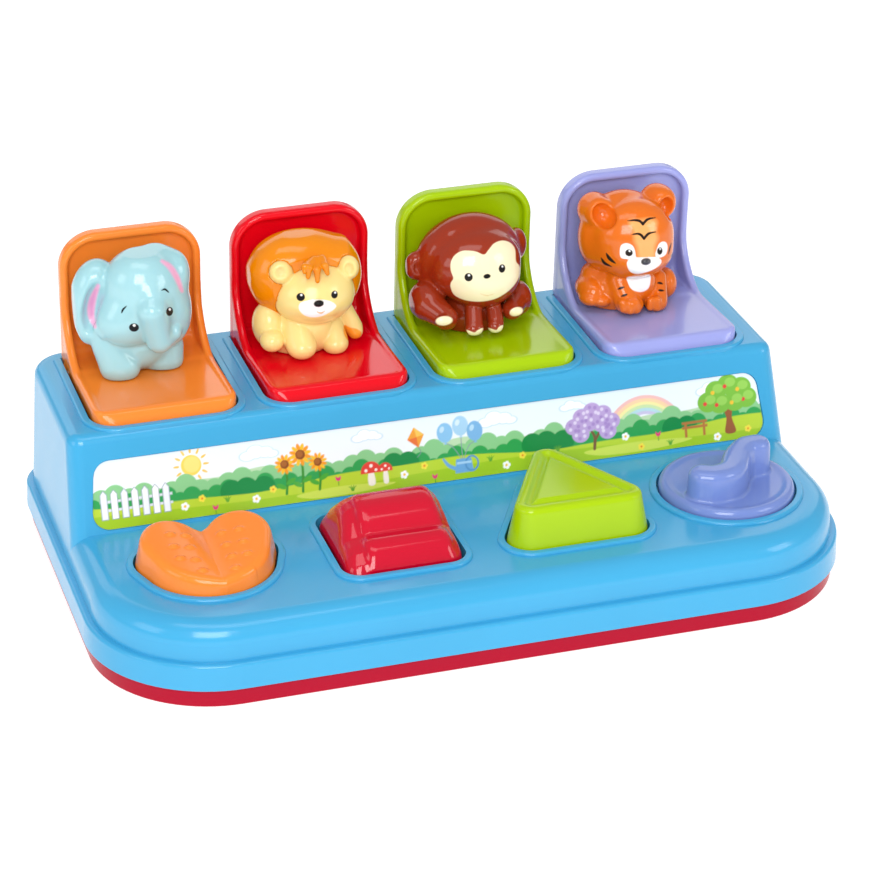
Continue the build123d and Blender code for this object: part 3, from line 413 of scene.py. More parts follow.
def sd_stroke(u, v, pts, w0, w1=None, mid=None):
    """Brush stroke along a line; widths at the ends and in the middle."""
    c = open_curve(pts)
    w1 = w0 if w1 is None else w1
    mid = max(w0, w1) if mid is None else mid
    best = np.full(u.shape, 1e9)
    n = len(c) - 1
    for i in range(n):
        a, b = c[i], c[i + 1]
        e = b - a
        wx, wy = u - a[0], v - a[1]
        t = np.clip((wx * e[0] + wy * e[1]) / max(e @ e, 1e-12), 0, 1)
        s = (i + t) / n
        w = (w0 + (w1 - w0) * s) + (mid - (w0 + w1) / 2) * np.sin(np.pi * s)
        best = np.minimum(best, np.hypot(wx - e[0] * t, wy - e[1] * t) - w)
    return best


def sd_oval(u, v, c, r, turn=0.0):
    a = math.radians(turn)
    x, y = u - c[0], v - c[1]
    x, y = x * math.cos(a) + y * math.sin(a), -x * math.sin(a) + y * math.cos(a)
    k = np.hypot(x / r[0], y / r[1])
    return (k - 1.0) * min(r[0], r[1])


def mark(me, name, values):
    """Float attribute on the mesh's vertices, in millimetres or a factor."""
    a = me.attributes.new(name, "FLOAT", "POINT")
    a.data.foreach_set("value", np.asarray(values, np.float32))


def painted(base_mat, name, layers):
    """Copy of a plastic with printed areas and painted highlights: (attribute, colour, softness) painted where the
    attribute is below zero.
    """
    m = base_mat.copy()
    m.name = name
    nt = m.node_tree
    hsv = nt.nodes[base_mat["hsv"]]
    prev = None
    for attr, col, soft in layers:
        an = nt.nodes.new("ShaderNodeAttribute")
        an.attribute_name = attr
        mr = nt.nodes.new("ShaderNodeMapRange")
        mr.inputs["From Min"].default_value = -soft
        mr.inputs["From Max"].default_value = soft
        mr.inputs["To Min"].default_value = 1.0
        mr.inputs["To Max"].default_value = 0.0
        nt.links.new(an.outputs["Fac"], mr.inputs["Value"])
        mx = nt.nodes.new("ShaderNodeMix")
        mx.data_type = "RGBA"
        nt.links.new(mr.outputs["Result"], mx.inputs["Factor"])
        if prev is None:
            mx.inputs[6].default_value = hsv.inputs["Color"].default_value[:]
        else:
            nt.links.new(prev, mx.inputs[6])
        mx.inputs[7].default_value = (*col, 1)
        prev = mx.outputs[2]
        if attr == "ink":                 # ink_matt: printed ink shines less than the plastic
            sp = nt.nodes.new("ShaderNodeMapRange")
            b = nt.nodes[base_mat["bsdf"]]
            sp.inputs["To Min"].default_value = b.inputs["Specular IOR Level"].default_value
            sp.inputs["To Max"].default_value = 0.06
            nt.links.new(mr.outputs["Result"], sp.inputs["Value"])
            nt.links.new(sp.outputs["Result"], b.inputs["Specular IOR Level"])
    nt.links.new(prev, hsv.inputs["Color"])
    return m


def front_only(px_mask, normal_ok):
    """A printed area, or a painted highlight, counts only on the side that faces the printing pad."""
    return np.where(normal_ok, px_mask, 9.0)


def facing(me):
    n = np.empty(len(me.vertices) * 3, np.float32)
    me.vertices.foreach_get("normal", n)
    n = n.reshape(-1, 3)
    return n @ B_.astype(np.float32)


# ------------------------------------------------------------------ seats (L-shaped lids)
LID_HW, LID_TOP, RIM, RECESS = 28.7, 125.2, 3.4, 3.4
LID_CX = {"elephant": -105.0, "lion": -35.0, "monkey": 35.0, "tiger": 105.0}


def panel_y(z):
    return 69.8 + 0.06 * (124.0 - z)


def seat_z(y):
    return 72.5 + 3.0 * (73.0 - y) / 59.1


def in_room(p, f):
    """Keeps a figure on the seat and in front of the back panel and its swept rims."""
    x, y, z = p
    lim = np.where(np.abs(x) > LID_HW - RIM - 0.3, 0.0, RECESS) - 0.12
    f = np.maximum(f, y - (panel_y(z) + lim))
    # swept rims: hollow cylinder of radius 26 between panel and seat
    cy, cz = 73.0 - 26.6, 72.6 + 26.0
    rim = np.where((np.abs(x) > LID_HW - RIM - 0.3) & (z < cz) & (y > cy), np.hypot(y - cy, z - cz) - 25.7, -9.0)
    f = np.maximum(f, rim)
    return np.maximum(f, seat_z(y) + 0.03 - z)


# ------------------------------------------------------------------ elephant
def build_elephant():
    cx = LID_CX["elephant"]

    def A(px, py, y):
        return at(px, py, y, cx)

    hc = A(147, 299, 54)
    ear_l0, ear_l1 = A(93, 288, 57), A(94, 312, 57)
    ear_r0, ear_r1 = A(160, 268, 60), A(172, 292, 61)

    def fn(p):
        head = ellipsoid(p, hc, (16.6, 16.5, 18.8), roll=12)
        brow = ellipsoid(p, A(141, 282, 51), (14.8, 13.0, 14.0))
        cheek_l = ellipsoid(p, A(125, 320, 47), (11.2, 9.6, 10.8))
        cheek_r = ellipsoid(p, A(167, 316, 50), (8.6, 9.6, 12.0))
        trunk_top = ellipsoid(p, A(153, 312, 41.5), (7.2, 8.5, 12.5), roll=6)
        trunk = limb(p, A(152, 312, 36.5), A(159, 339, 37.5), 5.6, 5.0)
        tip = limb(p, A(160, 340, 38.5), A(172, 332, 40.5), 4.8, 3.8)
        rings = [limb(p, A(166, 330, 36.6), A(171, 341, 38.2), 1.0, 1.0)]
        head = union(5.0, head, brow, cheek_l, cheek_r)
        head = union(2.6, head, trunk_top)
        head = union(1.6, head, union(2.0, trunk, tip))
        head = union(1.4, head, *rings)
        # left ear: a thick flap from the crown down to the cheek, hollow towards the front
        ear_l = union(5.0, ellipsoid(p, A(97, 280, 57), (7.6, 7.0, 8.8)), ellipsoid(p, A(87.5, 301, 56), (7.0, 7.2, 12.0), roll=-4),
                      ellipsoid(p, A(94, 322, 54), (5.6, 6.2, 9.4), roll=-22))
        scoop = ellipsoid(p, A(93.5, 309, 48.6), (3.9, 5.2, 10.6), roll=-12)
        ear_l = smax(ear_l, -scoop, 2.6)
        lobe = limb(p, A(99.5, 328, 48), A(104.5, 334.5, 45.5), 2.4, 1.9)
        ear_l = union(1.6, ear_l, lobe)
        # right ear: lies against the head, from the crown to the cheek
        ear_r = union(5.0, ellipsoid(p, A(155, 261, 55), (8.0, 8.0, 7.0)), ellipsoid(p, A(171, 283, 53), (6.8, 8.6, 13.0), roll=-16))
        body = ellipsoid(p, A(136, 338, 56), (15.5, 13.5, 12.5))
        leg_l = limb(p, A(106, 333, 52), A(116, 366, 47.0), 7.0, 6.6)
        leg_l = union(2.5, leg_l, limb(p, A(112, 345, 50), A(125, 366, 45.8), 6.6, 6.2))
        leg_r = limb(p, A(168, 345, 52), A(168, 357, 51.0), 6.2, 6.2)
        leg_r = union(2.5, leg_r, limb(p, A(160, 345, 53), A(158, 358, 51.5), 6.0, 5.8))
        leg_m = limb(p, A(136, 340, 58), A(140, 353, 57), 5.0, 5.0)
        low = union(2.0, body, leg_l)
        low = union(1.4, low, leg_r, leg_m)
        f = union(1.1, head, low)
        f = union(1.3, f, ear_l)
        f = union(1.5, f, ear_r)
        return in_room(p, f)

    me, v = surface("elephant_skin", fn, (-26.4, 30, 71.5), (22.2, 74.5, 123.0), 0.55)
    u, w = to_px(v + np.array([cx, 0, 0]))
    ok = v[:, 1] < 62
    mark(me, "pink", front_only(np.minimum(sd_stroke(u, w, [(98, 286), (92.5, 300), (91, 314), (95, 327)], 2.0, 1.5, 4.0),
                                           sd_stroke(u, w, [(162, 261), (170, 267), (177, 278), (182, 291)], 1.6, 1.6, 3.0)), ok))
    mark(me, "rose", front_only(sd_stroke(u, w, [(96, 290), (92.0, 303), (91.5, 316)], 0.6, 0.6, 2.2), ok))
    eyes = np.minimum(sd_oval(u, w, (134, 327.5), (5.0, 4.2)), sd_oval(u, w, (169.6, 311.5), (3.5, 4.5), 10))
    brows = np.minimum(sd_stroke(u, w, [(121.5, 313.5), (123, 309.5), (126.8, 306)], 0.5, 0.4, 1.0),
                       sd_stroke(u, w, [(161.5, 290.3), (165, 289.3), (169, 292.6)], 0.4, 0.5, 1.0))
    mark(me, "ink", front_only(np.minimum(eyes, brows), ok))
    # painted highlight: a white glint dot in each eye
    mark(me, "glint", front_only(np.minimum(sd_oval(u, w, (134.2, 325.4), (1.5, 1.4)), sd_oval(u, w, (169.8, 309.4), (1.2, 1.3))), ok))
    mat = painted(MINT, "elephant_paint", [("pink", (0.86, 0.42, 0.62), 1.2), ("rose", (0.74, 0.28, 0.52), 1.4),
                                          ("ink", (0.012, 0.014, 0.018), 0.35), ("glint", (0.95, 0.95, 0.95), 0.4)])
    place(me, "elephant_moulding", mat, "elephant_popup", cx, "elephant_figure")


# ------------------------------------------------------------------ lion
MANE_LINE = [(245.5, 273), (249, 261), (257, 248), (269, 239), (286, 233), (305, 231), (322, 231.5), (336, 233.8), (346, 233.6),
             (350.5, 236), (356, 244), (361.5, 256), (363.3, 271), (361, 285), (357, 294), (350, 303), (340, 311.5),
             (330, 318), (319, 324), (311, 329), (305, 330), (300, 327), (291, 323), (279, 318.5), (267, 312), (257.5, 303),
             (250, 291)]


def build_lion():
    cx = LID_CX["lion"]

    def A(px, py, y):
        return at(px, py, y, cx)

    tuft = [((314, 260), (309, 268), (308, 277)), ((318, 260), (317, 270), (317.5, 281)), ((322, 259), (325, 266), (327.5, 273.5)),
            ((311, 262), (305, 267), (304.5, 272))]
    fc = A(314, 289, 50)

    def face(p):
        head = ellipsoid(p, fc, (16.0, 14.2, 12.6))
        cheeks = ellipsoid(p, A(313, 298, 48.5), (15.4, 12.0, 9.6))
        ear_l = ellipsoid(p, A(281, 272, 47.5), (4.9, 4.2, 4.9))
        ear_l = smax(ear_l, -ellipsoid(p, A(280.5, 272.5, 43.2), (2.8, 2.2, 2.9)), 0.9)
        ear_r = ellipsoid(p, A(348.0, 267.5, 46.5), (4.4, 4.4, 5.0))
        ear_r = smax(ear_r, -ellipsoid(p, A(349.6, 269, 42.2), (2.2, 2.1, 2.9)), 0.9)
        muzzle = ellipsoid(p, A(318, 308, 38.4), (7.8, 4.4, 4.4))
        nose = ellipsoid(p, A(318.8, 303.2, 34.5), (2.1, 1.5, 1.4))
        f = union(4.0, head, cheeks)
        f = union(1.2, f, ear_l, ear_r)
        f = union(2.2, f, muzzle)
        return union(0.8, f, nose)

    def fn_body(p):
        body = ellipsoid(p, A(300, 327, 54), (15.0, 12.4, 12.5))
        hip = ellipsoid(p, A(268, 324, 53), (6.4, 8.0, 9.5))
        hpaw = ellipsoid(p, A(272, 340.5, 44.5), (4.9, 5.4, 4.5))
        leg_l = limb(p, A(297, 326, 47), A(300, 342, 42.5), 6.2, 6.4)
        paw_l = ellipsoid(p, A(302, 347, 40.0), (5.9, 5.8, 4.9))
        leg_r = limb(p, A(330, 322, 50), A(334, 338, 45.5), 4.8, 5.4)
        paw_r = ellipsoid(p, A(335, 343, 43.6), (5.4, 5.4, 4.5))
        chest = ellipsoid(p, A(312, 325, 47), (8.0, 6.0, 9.5))
        sh = limb(p, A(342, 310, 52), A(354, 326, 51), 4.6, 3.4)
        tail = limb(p, A(350, 322, 51), A(355, 331, 49.5), 3.6, 3.2)
        f = union(3.0, body, chest)
        f = union(1.2, f, hip)
        f = union(0.9, f, hpaw, leg_l, leg_r)
        f = union(1.0, f, paw_l, paw_r)
        f = union(1.0, f, sh, tail)
        f = union(0.8, f, face(p))
        return in_room(p, f)

    me, v = surface("lion_skin", fn_body, (-25.2, 28, 71.5), (20.4, 74.0, 115.2), 0.55)
    u, w = to_px(v + np.array([cx, 0, 0]))
    ok = v[:, 1] < 58
    mark(me, "muzzle", front_only(sd_poly(u, w, closed_curve([(299, 305), (302, 302), (309, 300.3), (318, 299.3), (328, 300.5),
                                                             (334.5, 303.5), (336, 307), (331, 311.5), (322, 316), (312, 317.3),
                                                             (304, 315), (299.3, 310)])), ok))
    mark(me, "ink", front_only(np.minimum(np.minimum(sd_oval(u, w, (300.7, 297), (4.3, 4.1)), sd_oval(u, w, (334.5, 294.6), (3.3, 4.0), 10)),
                                          sd_oval(u, w, (318.8, 303.6), (5.1, 3.4), -8)), ok))
    # painted highlight: a white glint dot in each eye
    mark(me, "glint", front_only(np.minimum(sd_oval(u, w, (301.4, 295), (1.3, 1.2)), sd_oval(u, w, (335.2, 292.6), (1.1, 1.1))), ok))
    mark(me, "smile", front_only(sd_stroke(u, w, [(316.5, 311.5), (321, 313.2), (324.5, 311)], 0.3, 0.5, 0.8), ok))
    mark(me, "tip", sd_poly(u, w, closed_curve([(344, 325), (350, 327.5), (357, 329), (361.5, 333), (357, 341), (349, 341), (344, 334)])))
    mark(me, "inner", front_only(np.minimum(sd_oval(u, w, (280.5, 272), (5.0, 5.6)), sd_oval(u, w, (350.5, 268.5), (3.0, 5.0))), ok))
    mat = painted(CREAM, "lion_paint", [("inner", (0.90, 0.66, 0.26), 2.0), ("tip", (0.94, 0.36, 0.03), 0.6), ("muzzle", (0.93, 0.91, 0.90), 0.5),
                                       ("ink", (0.014, 0.013, 0.014), 0.35), ("glint", (0.95, 0.95, 0.95), 0.4),
                                       ("smile", (0.72, 0.36, 0.12), 0.4)])
    place(me, "lion_moulding", mat, "lion_popup", cx, "lion_body")

    outline = closed_curve(MANE_LINE, 6)

    def fn_mane(p):
        x, y, z = np.broadcast_arrays(*p)
        pts = np.stack([x.ravel() + cx, np.full(x.size, 56.0), z.ravel()], 1)
        # outline taken on the middle plane of the mane, so it stays where the seat carries it
        pts[:, 2] = z.ravel() - 0.30 * (np.clip(y.ravel(), 44, 70) - 56.0) * 0.0
        uu, ww = to_px(pts)
        d2 = (sd_poly(uu, ww, outline) / 2.5).reshape(x.shape)
        yy = (y - 58.0) / 1.0
        depth = np.abs(yy) - 17.5
        r = 15.0
        a, b = d2 + r, depth + r
        f = np.minimum(np.maximum(a, b), 0.0) + np.hypot(np.maximum(a, 0), np.maximum(b, 0)) - r
        dome = ellipsoid(p, A(303, 276, 57), (27.5, 16.2, 24.0))
        f = smax(f, dome, 11.0) - 0.6
        f = np.maximum(f, 45.5 - y + 0.0 * x)
        for t in tuft:
            c = [A(q[0], q[1], yv) for q, yv in zip(t, (42.5, 38.0, 36.8))]
            f = smin(f, smin(limb(p, c[0], c[1], 1.7, 1.5), limb(p, c[1], c[2], 1.5, 0.9), 0.6), 0.5)
        body = face(p)
        f = np.where(y > 41, np.maximum(f, -(body - 0.05)), f)
        return in_room(p, f)

    me, v = surface("mane_skin", fn_mane, (-25.2, 34, 75), (24.4, 75.4, 120.4), 0.55)
    place(me, "lion_mane_moulding", MANE, "lion_popup", cx, "lion_mane")


# ------------------------------------------------------------------ monkey
def build_monkey():
    cx = LID_CX["monkey"]

    def A(px, py, y):
        return at(px, py, y, cx)

    face_line = closed_curve([(453.3, 278), (450.7, 270), (451, 262), (454.5, 255.5), (461, 251.3), (468, 250.6), (476, 251.6),
                              (484, 254.6), (488.5, 250), (494, 243.5), (502, 240.6), (510, 242.6), (515, 249), (516, 261),
                              (519.5, 266), (520.5, 272), (517, 281), (509, 290.5), (496, 298.5), (480, 301.6), (464, 299.8),
                              (454, 294.5), (450.6, 287), (451, 282.5)])

    def fn(p):
        back_ = ellipsoid(p, A(468, 256, 57), (22.0, 14.0, 18.4), roll=6)
        front = ellipsoid(p, A(475, 264, 49.5), (19.0, 14.2, 15.4), roll=6)
        mask = ellipsoid(p, A(484, 279, 45.5), (14.6, 11.6, 11.4), roll=6)
        f = union(1.6, back_, front)
        f = union(2.6, f, mask)
        ear = ellipsoid(p, A(416.5, 265.5, 58), (4.9, 4.0, 6.2))
        ear = smax(ear, -ellipsoid(p, A(419.5, 269, 53.6), (2.6, 2.0, 3.4)), 1.0)
        ear2 = ellipsoid(p, A(516.5, 243, 60), (4.0, 4.4, 6.6))
        f = union(1.6, f, ear)
        f = union(4.0, f, ear2)
        belly = ellipsoid(p, A(472, 310, 54), (14.0, 12.0, 11.5))
        thigh = ellipsoid(p, A(427, 301, 51), (7.3, 9.0, 8.6))
        leg = limb(p, A(430, 306, 47), A(446, 318, 39), 6.6, 4.9)
        sole = ellipsoid(p, A(444.5, 320.5, 35.0), (4.0, 2.2, 2.6), roll=-4)
        thigh2 = ellipsoid(p, A(518, 297, 52), (5.3, 8.0, 7.0))
        leg2 = limb(p, A(517, 300, 48), A(512, 309.5, 41), 4.8, 4.2)
        sole2 = ellipsoid(p, A(516, 311, 38.0), (3.3, 2.0, 2.2), roll=-14)
        arm = limb(p, A(473, 300, 44), A(474, 325, 36.5), 3.6, 3.7)
        hand = ellipsoid(p, A(474.5, 328.5, 34.6), (3.9, 3.0, 2.9))
        arm2 = limb(p, A(492, 299, 44), A(495.5, 322, 37.5), 3.2, 3.4)
        hand2 = ellipsoid(p, A(495.5, 326, 35.6), (3.3, 2.9, 2.8))
        f = union(1.2, f, belly)
        f = union(1.4, f, thigh, thigh2)
        f = union(1.2, f, leg, leg2)
        f = union(0.6, f, sole, sole2)
        f = union(0.8, f, arm, arm2)
        f = union(0.8, f, hand, hand2)
        return in_room(p, f)

    me, v = surface("monkey_skin", fn, (-29.0, 26, 71.5), (24.0, 74.0, 123.0), 0.55)
    u, w = to_px(v + np.array([cx, 0, 0]))
    ok = v[:, 1] < 52
    cream = sd_poly(u, w, face_line)
    soles = np.minimum(sd_oval(u, w, (444, 320.8), (8.6, 4.6), -6), sd_oval(u, w, (516.3, 311.6), (6.9, 4.3), -18))
    tips = np.minimum(sd_poly(u, w, closed_curve([(466.5, 330), (470, 331), (474.5, 332.5), (478, 330), (483, 328), (482, 332), (479, 335.5), (474, 337), (469.5, 335)])),
                      sd_poly(u, w, closed_curve([(488, 328), (492, 329), (496.5, 330), (499, 327), (503, 325), (502.5, 329), (499, 333.5), (494.5, 334.5), (490.5, 332)])))
    mark(me, "cream", front_only(np.minimum(cream, np.minimum(soles, tips)), ok))
    mark(me, "ink", front_only(np.minimum(np.minimum(sd_oval(u, w, (468.6, 277.2), (4.2, 4.2)), sd_oval(u, w, (502, 268.5), (3.3, 4.3), 8)),
                                          sd_oval(u, w, (487, 276.3), (3.7, 2.4), -10)), ok))
    # painted highlight: a white glint dot in each eye
    mark(me, "glint", front_only(np.minimum(sd_oval(u, w, (469, 275.3), (1.3, 1.2)), sd_oval(u, w, (502.4, 266.4), (1.0, 1.1))), ok))
    mark(me, "smile", front_only(sd_stroke(u, w, [(480, 293.6), (487.5, 295.6), (495, 293.4)], 0.2, 0.2, 0.5), ok))
    mat = painted(BROWN, "monkey_paint", [("cream", (0.95, 0.84, 0.56), 0.5), ("smile", (0.82, 0.60, 0.30), 0.5),
                                         ("ink", (0.014, 0.013, 0.012), 0.35), ("glint", (0.95, 0.95, 0.95), 0.4)])
    place(me, "monkey_moulding", mat, "monkey_popup", cx, "monkey_figure")


# ------------------------------------------------------------------ tiger
def build_tiger():
    cx = LID_CX["tiger"]

    def A(px, py, y):
        return at(px, py, y, cx)

    def fn(p):
        back_ = ellipsoid(p, A(621, 229, 58), (18.0, 12.5, 17.0))
        front = ellipsoid(p, A(633, 236, 50), (17.2, 13.2, 16.2))
        side = ellipsoid(p, A(605, 243, 57), (10.0, 10.5, 11.0), roll=-10)
        jaw = ellipsoid(p, A(636, 254, 47.5), (14.8, 11.5, 9.4))
        f = union(2.0, back_, front)
        f = union(4.0, f, jaw, side)
        ear = union(3.0, ellipsoid(p, A(594, 209, 60), (7.0, 6.0, 7.4), roll=16), ellipsoid(p, A(600, 213, 54.5), (6.4, 5.6, 7.0), roll=16))
        ear2 = union(3.0, ellipsoid(p, A(656, 199, 60.5), (7.2, 5.6, 6.8), roll=-16), ellipsoid(p, A(661, 203, 56), (6.2, 5.6, 6.8), roll=-16))
        f = union(1.4, f, ear, ear2)
        f = smax(f, -ellipsoid(p, A(604.5, 216.0, 47.6), (4.7, 6.6, 5.2), roll=16), 0.9)
        f = smax(f, -ellipsoid(p, A(668.0, 209.0, 49.4), (3.5, 6.0, 4.6), roll=-10), 0.8)
        muzzle = ellipsoid(p, A(643.5, 264.5, 38.8), (7.2, 4.6, 3.9))
        nose = ellipsoid(p, A(646, 261.3, 34.9), (2.1, 1.4, 1.4))
        f = union(1.8, f, muzzle)
        f = union(0.7, f, nose)
        body = ellipsoid(p, A(620, 285, 56), (15.0, 12.0, 12.5))
        chest = ellipsoid(p, A(639, 283, 46.5), (7.0, 5.5, 8.0))
        haunch = union(1.6, ellipsoid(p, A(595, 274, 59), (6.0, 6.5, 5.6)), ellipsoid(p, A(591, 288, 55.5), (6.4, 8.5, 5.8)))
        foot = union(1.0, ellipsoid(p, A(590, 297, 51), (4.6, 5.6, 3.2)), ellipsoid(p, A(601, 298.5, 49.5), (4.6, 5.0, 3.0)))
        haunch2 = ellipsoid(p, A(665, 282, 55), (4.6, 6.5, 6.4))
        arm = limb(p, A(619, 281, 49), A(626, 299, 44), 5.6, 5.3)
        paw = ellipsoid(p, A(630, 304.5, 41.5), (5.7, 5.0, 3.9))
        arm2 = limb(p, A(657, 278, 50), A(657, 296, 45.5), 3.9, 4.3)
        paw2 = ellipsoid(p, A(655.5, 302, 43.5), (4.9, 4.8, 3.9))
        toes = [limb(p, A(a[0], a[1], a[2]), A(b[0], b[1], b[2]), 1.7, 1.5) for a, b in
                (((622.5, 303, 39.5), (624, 309, 38.5)), ((629, 304, 38.0), (630.5, 310.5, 37.2)), ((635.5, 303, 38.2), (637, 309.5, 37.8)),
                 ((651, 301, 40.0), (650, 307, 39.6)), ((657, 300, 40.0), (657, 307, 39.6)))]
        f2 = union(2.5, body, chest)
        f2 = union(1.2, f2, haunch, haunch2)
        f2 = union(1.0, f2, foot, arm, arm2)
        f2 = union(1.4, f2, paw, paw2)
        f2 = union(1.3, f2, *toes)
        f = union(1.0, f, f2)
        return in_room(p, f)

    me, v = surface("tiger_skin", fn, (-27.6, 30, 71.5), (18.6, 74.0, 123.6), 0.55)
    u, w = to_px(v + np.array([cx, 0, 0]))
    ok = v[:, 1] < 56
    # painted highlight: a lighter orange patch on the forehead between the eyes
    forehead_highlight_mask = sd_poly(u, w, closed_curve([(629, 221), (640, 219.5), (652, 218.5), (657, 222), (656, 230), (658, 238), (655, 247), (654, 257),
                                        (640, 258), (637, 247), (634, 240), (633, 231)]))
    mark(me, "forehead_highlight", front_only(forehead_highlight_mask, ok))
    whites = sd_poly(u, w, closed_curve([(620, 249), (621.5, 245), (626, 243.2), (631, 244.6), (634, 248), (635.5, 254), (635, 258.5),
                                         (629, 259), (622, 258.3), (620, 255)]))
    whites = np.minimum(whites, sd_poly(u, w, closed_curve([(656.5, 250), (659, 244), (663, 241.6), (666.5, 243), (667.5, 248), (666, 254),
                                                            (662, 257), (656.5, 257.5), (655.4, 254)])))
    whites = np.minimum(whites, sd_poly(u, w, closed_curve([(627, 265), (628, 260.5), (632, 257.8), (640, 257.4), (650, 257), (657, 257.4),
                                                            (661.2, 260), (660.5, 264), (655, 268.5), (647, 272), (637, 274), (630, 271.5)])))
    whites = np.minimum(whites, sd_poly(u, w, closed_curve([(626.8, 277.5), (634, 276.6), (643, 276.4), (650, 275), (650.5, 281), (648.5, 288),
                                                            (643, 291.6), (637, 291.6), (631, 288.5), (628, 283)])))
    mark(me, "white", front_only(whites, ok))
    ink = np.minimum(sd_oval(u, w, (629, 252.8), (3.8, 3.5)), sd_oval(u, w, (659.8, 251), (2.7, 3.8), 8))
    strokes = [[(627.5, 220.8), (635, 220.2), (640, 221.2), (643, 224.6)], [(655.4, 217.6), (649, 218.8), (645.6, 221), (643, 224.6)],
               [(631, 234.6), (638, 233.8), (641.5, 235.4), (644, 239)], [(656, 231.8), (650, 233), (647, 235), (644, 239)]]
    for s in strokes:
        ink = np.minimum(ink, sd_stroke(u, w, s, 0.5, 1.1, 1.3))
    for s, wd in (([(606, 252.8), (609.5, 258.5), (616, 263.8)], 1.7), ([(601, 257.6), (604.5, 263), (611.5, 266.6)], 1.4),
                  ([(671.3, 243), (669.8, 248.5), (668.4, 254)], 0.7), ([(675, 247), (673.6, 252), (670.5, 257)], 0.7),
                  ([(617.5, 289.3), (621, 288), (624.5, 287)], 1.3), ([(621, 296.4), (624.5, 295.2), (627.5, 294.2)], 1.3),
                  ([(657, 283), (660, 283), (663, 284)], 1.2), ([(658, 290), (661, 290.4), (664, 290.6)], 1.2)):
        ink = np.minimum(ink, sd_stroke(u, w, s, 0.35, 0.35, wd))
    mark(me, "ink", front_only(ink, ok))
    mark(me, "nose", front_only(sd_oval(u, w, (646, 261.6), (5.0, 3.5), -6), ok))
    # painted highlight: a white glint dot in each eye
    mark(me, "glint", front_only(np.minimum(sd_oval(u, w, (629.6, 251), (1.2, 1.1)), sd_oval(u, w, (660.2, 249), (0.9, 1.1))), ok))
    # the first layer paints the forehead highlight in lighter orange
    mat = painted(TIGER, "tiger_paint", [("forehead_highlight", (0.93, 0.42, 0.13), 2.6), ("white", (0.95, 0.93, 0.92), 0.5),
                                        ("ink", (0.022, 0.014, 0.012), 0.35), ("nose", (0.06, 0.06, 0.07), 0.4), ("glint", (0.95, 0.95, 0.95), 0.4)])
    place(me, "tiger_moulding", mat, "tiger_popup", cx, "tiger_figure")


build_elephant()
build_lion()
build_monkey()
build_tiger()


# ------------------------------------------------------------------ seats
def rounded_rect(x, y, hx, hy, r):
    qx, qy = np.abs(x) - hx + r, np.abs(y) - hy + r
    return np.minimum(np.maximum(qx, qy), 0.0) + np.hypot(np.maximum(qx, 0), np.maximum(qy, 0)) - r


def lid_field(p):
    x, y, z = p
    py = panel_y(z)
    # back panel with rounded top corners
    zc = (LID_TOP + 40.0) / 2
    plan = np.where(z > 90, rounded_rect(x, z - zc, LID_HW, (LID_TOP - 40.0) / 2, 15.0), np.abs(x) - LID_HW)
    panel = smax(smax(py - y, y - py - 7.0, 1.2), plan, 2.4)
    panel = smax(panel, 70.35 - z, 0.8)
    # seat with rounded front corners and a sloping lip
    foot = np.where(y < 30, rounded_rect(x, y - (9.9 + 40.0), LID_HW, 40.0, 9.0), np.abs(x) - LID_HW)
    seat = smax(z - seat_z(y), 66.4 - z, 0.8)
    nx, nz = -5.5 / 6.801, 4.0 / 6.801
    lip = (y - 9.9) * nx + (z - 70.0) * nz
    seat = smax(smax(seat, lip, 1.6), foot, 2.2)
    seat = smax(seat, y - 77.0, 0.6)
    # swept side rims
    cy, cz = 73.0 - 26.6, 72.6 + 26.0
    web = np.maximum(26.0 - np.hypot(y - cy, z - cz), np.maximum(cy - y, z - cz))
    web = smax(np.maximum(web, np.maximum(y - py - 5.0, 67.0 - z)), np.abs(x) - LID_HW, 2.4)
    body = smin(smin(panel, seat, 0.8), web, 0.6)
    # recess of the back panel, running out on the seat
    inner = np.where(z > 95, rounded_rect(x, z - (LID_TOP - RIM + 40.0) / 2, LID_HW - RIM, (LID_TOP - RIM - 40.0) / 2, 11.0),
                     np.abs(x) - (LID_HW - RIM))
    floor_ = smax(y - (py + RECESS), seat_z(y) - z, 9.0)
    body = smax(body, -smax(floor_, inner, 1.4), 1.5)
    # hollow seat, hinge barrels and bore
    under = np.where(y < 30, rounded_rect(x, y - (13.4 + 40.0), LID_HW - 2.6, 40.0, 7.5), np.abs(x) - (LID_HW - 2.6))
    hollow = np.maximum(np.maximum(z - (seat_z(y) - 2.8), y - 66.0), under)
    body = smax(body, -hollow, 0.5)
    notch = np.maximum(np.maximum(z - 70.2, np.maximum(61.9 - y, y - 77.1)), np.abs(x) - 15.0)
    body = smax(body, -notch, 0.4)
    lug = np.maximum(np.hypot(y - 70.4, z - 66.0) - 4.0, np.maximum(np.abs(x) - 29.4, 16.0 - np.abs(x)))
    body = np.minimum(body, lug)
    for fx in (-9.0, 3.0):
        pad = np.maximum(np.hypot(x - fx, y - 54.0) - 3.8, np.maximum(70.3 - z, z - 72.0))
        body = np.minimum(body, pad)
        body = np.maximum(body, -(np.maximum(np.hypot(x - fx, y - 54.0) - 1.4, z - 73.0)))
    return np.maximum(body, -(np.hypot(y - 70.4, z - 66.0) - 1.56))


def build_lids():
    me, _ = surface("seat_skin", lid_field, (-30.6, 8.6, 61.2), (30.6, 81.5, 126.6), 0.6)
    for k, (name, cx) in enumerate(LID_CX.items()):
        copy = me if k == 3 else me.copy()
        copy.name = name + "_seat_skin"
        place(copy, name + "_seat", LIDMAT[name], name + "_popup", cx, name + "_lid")


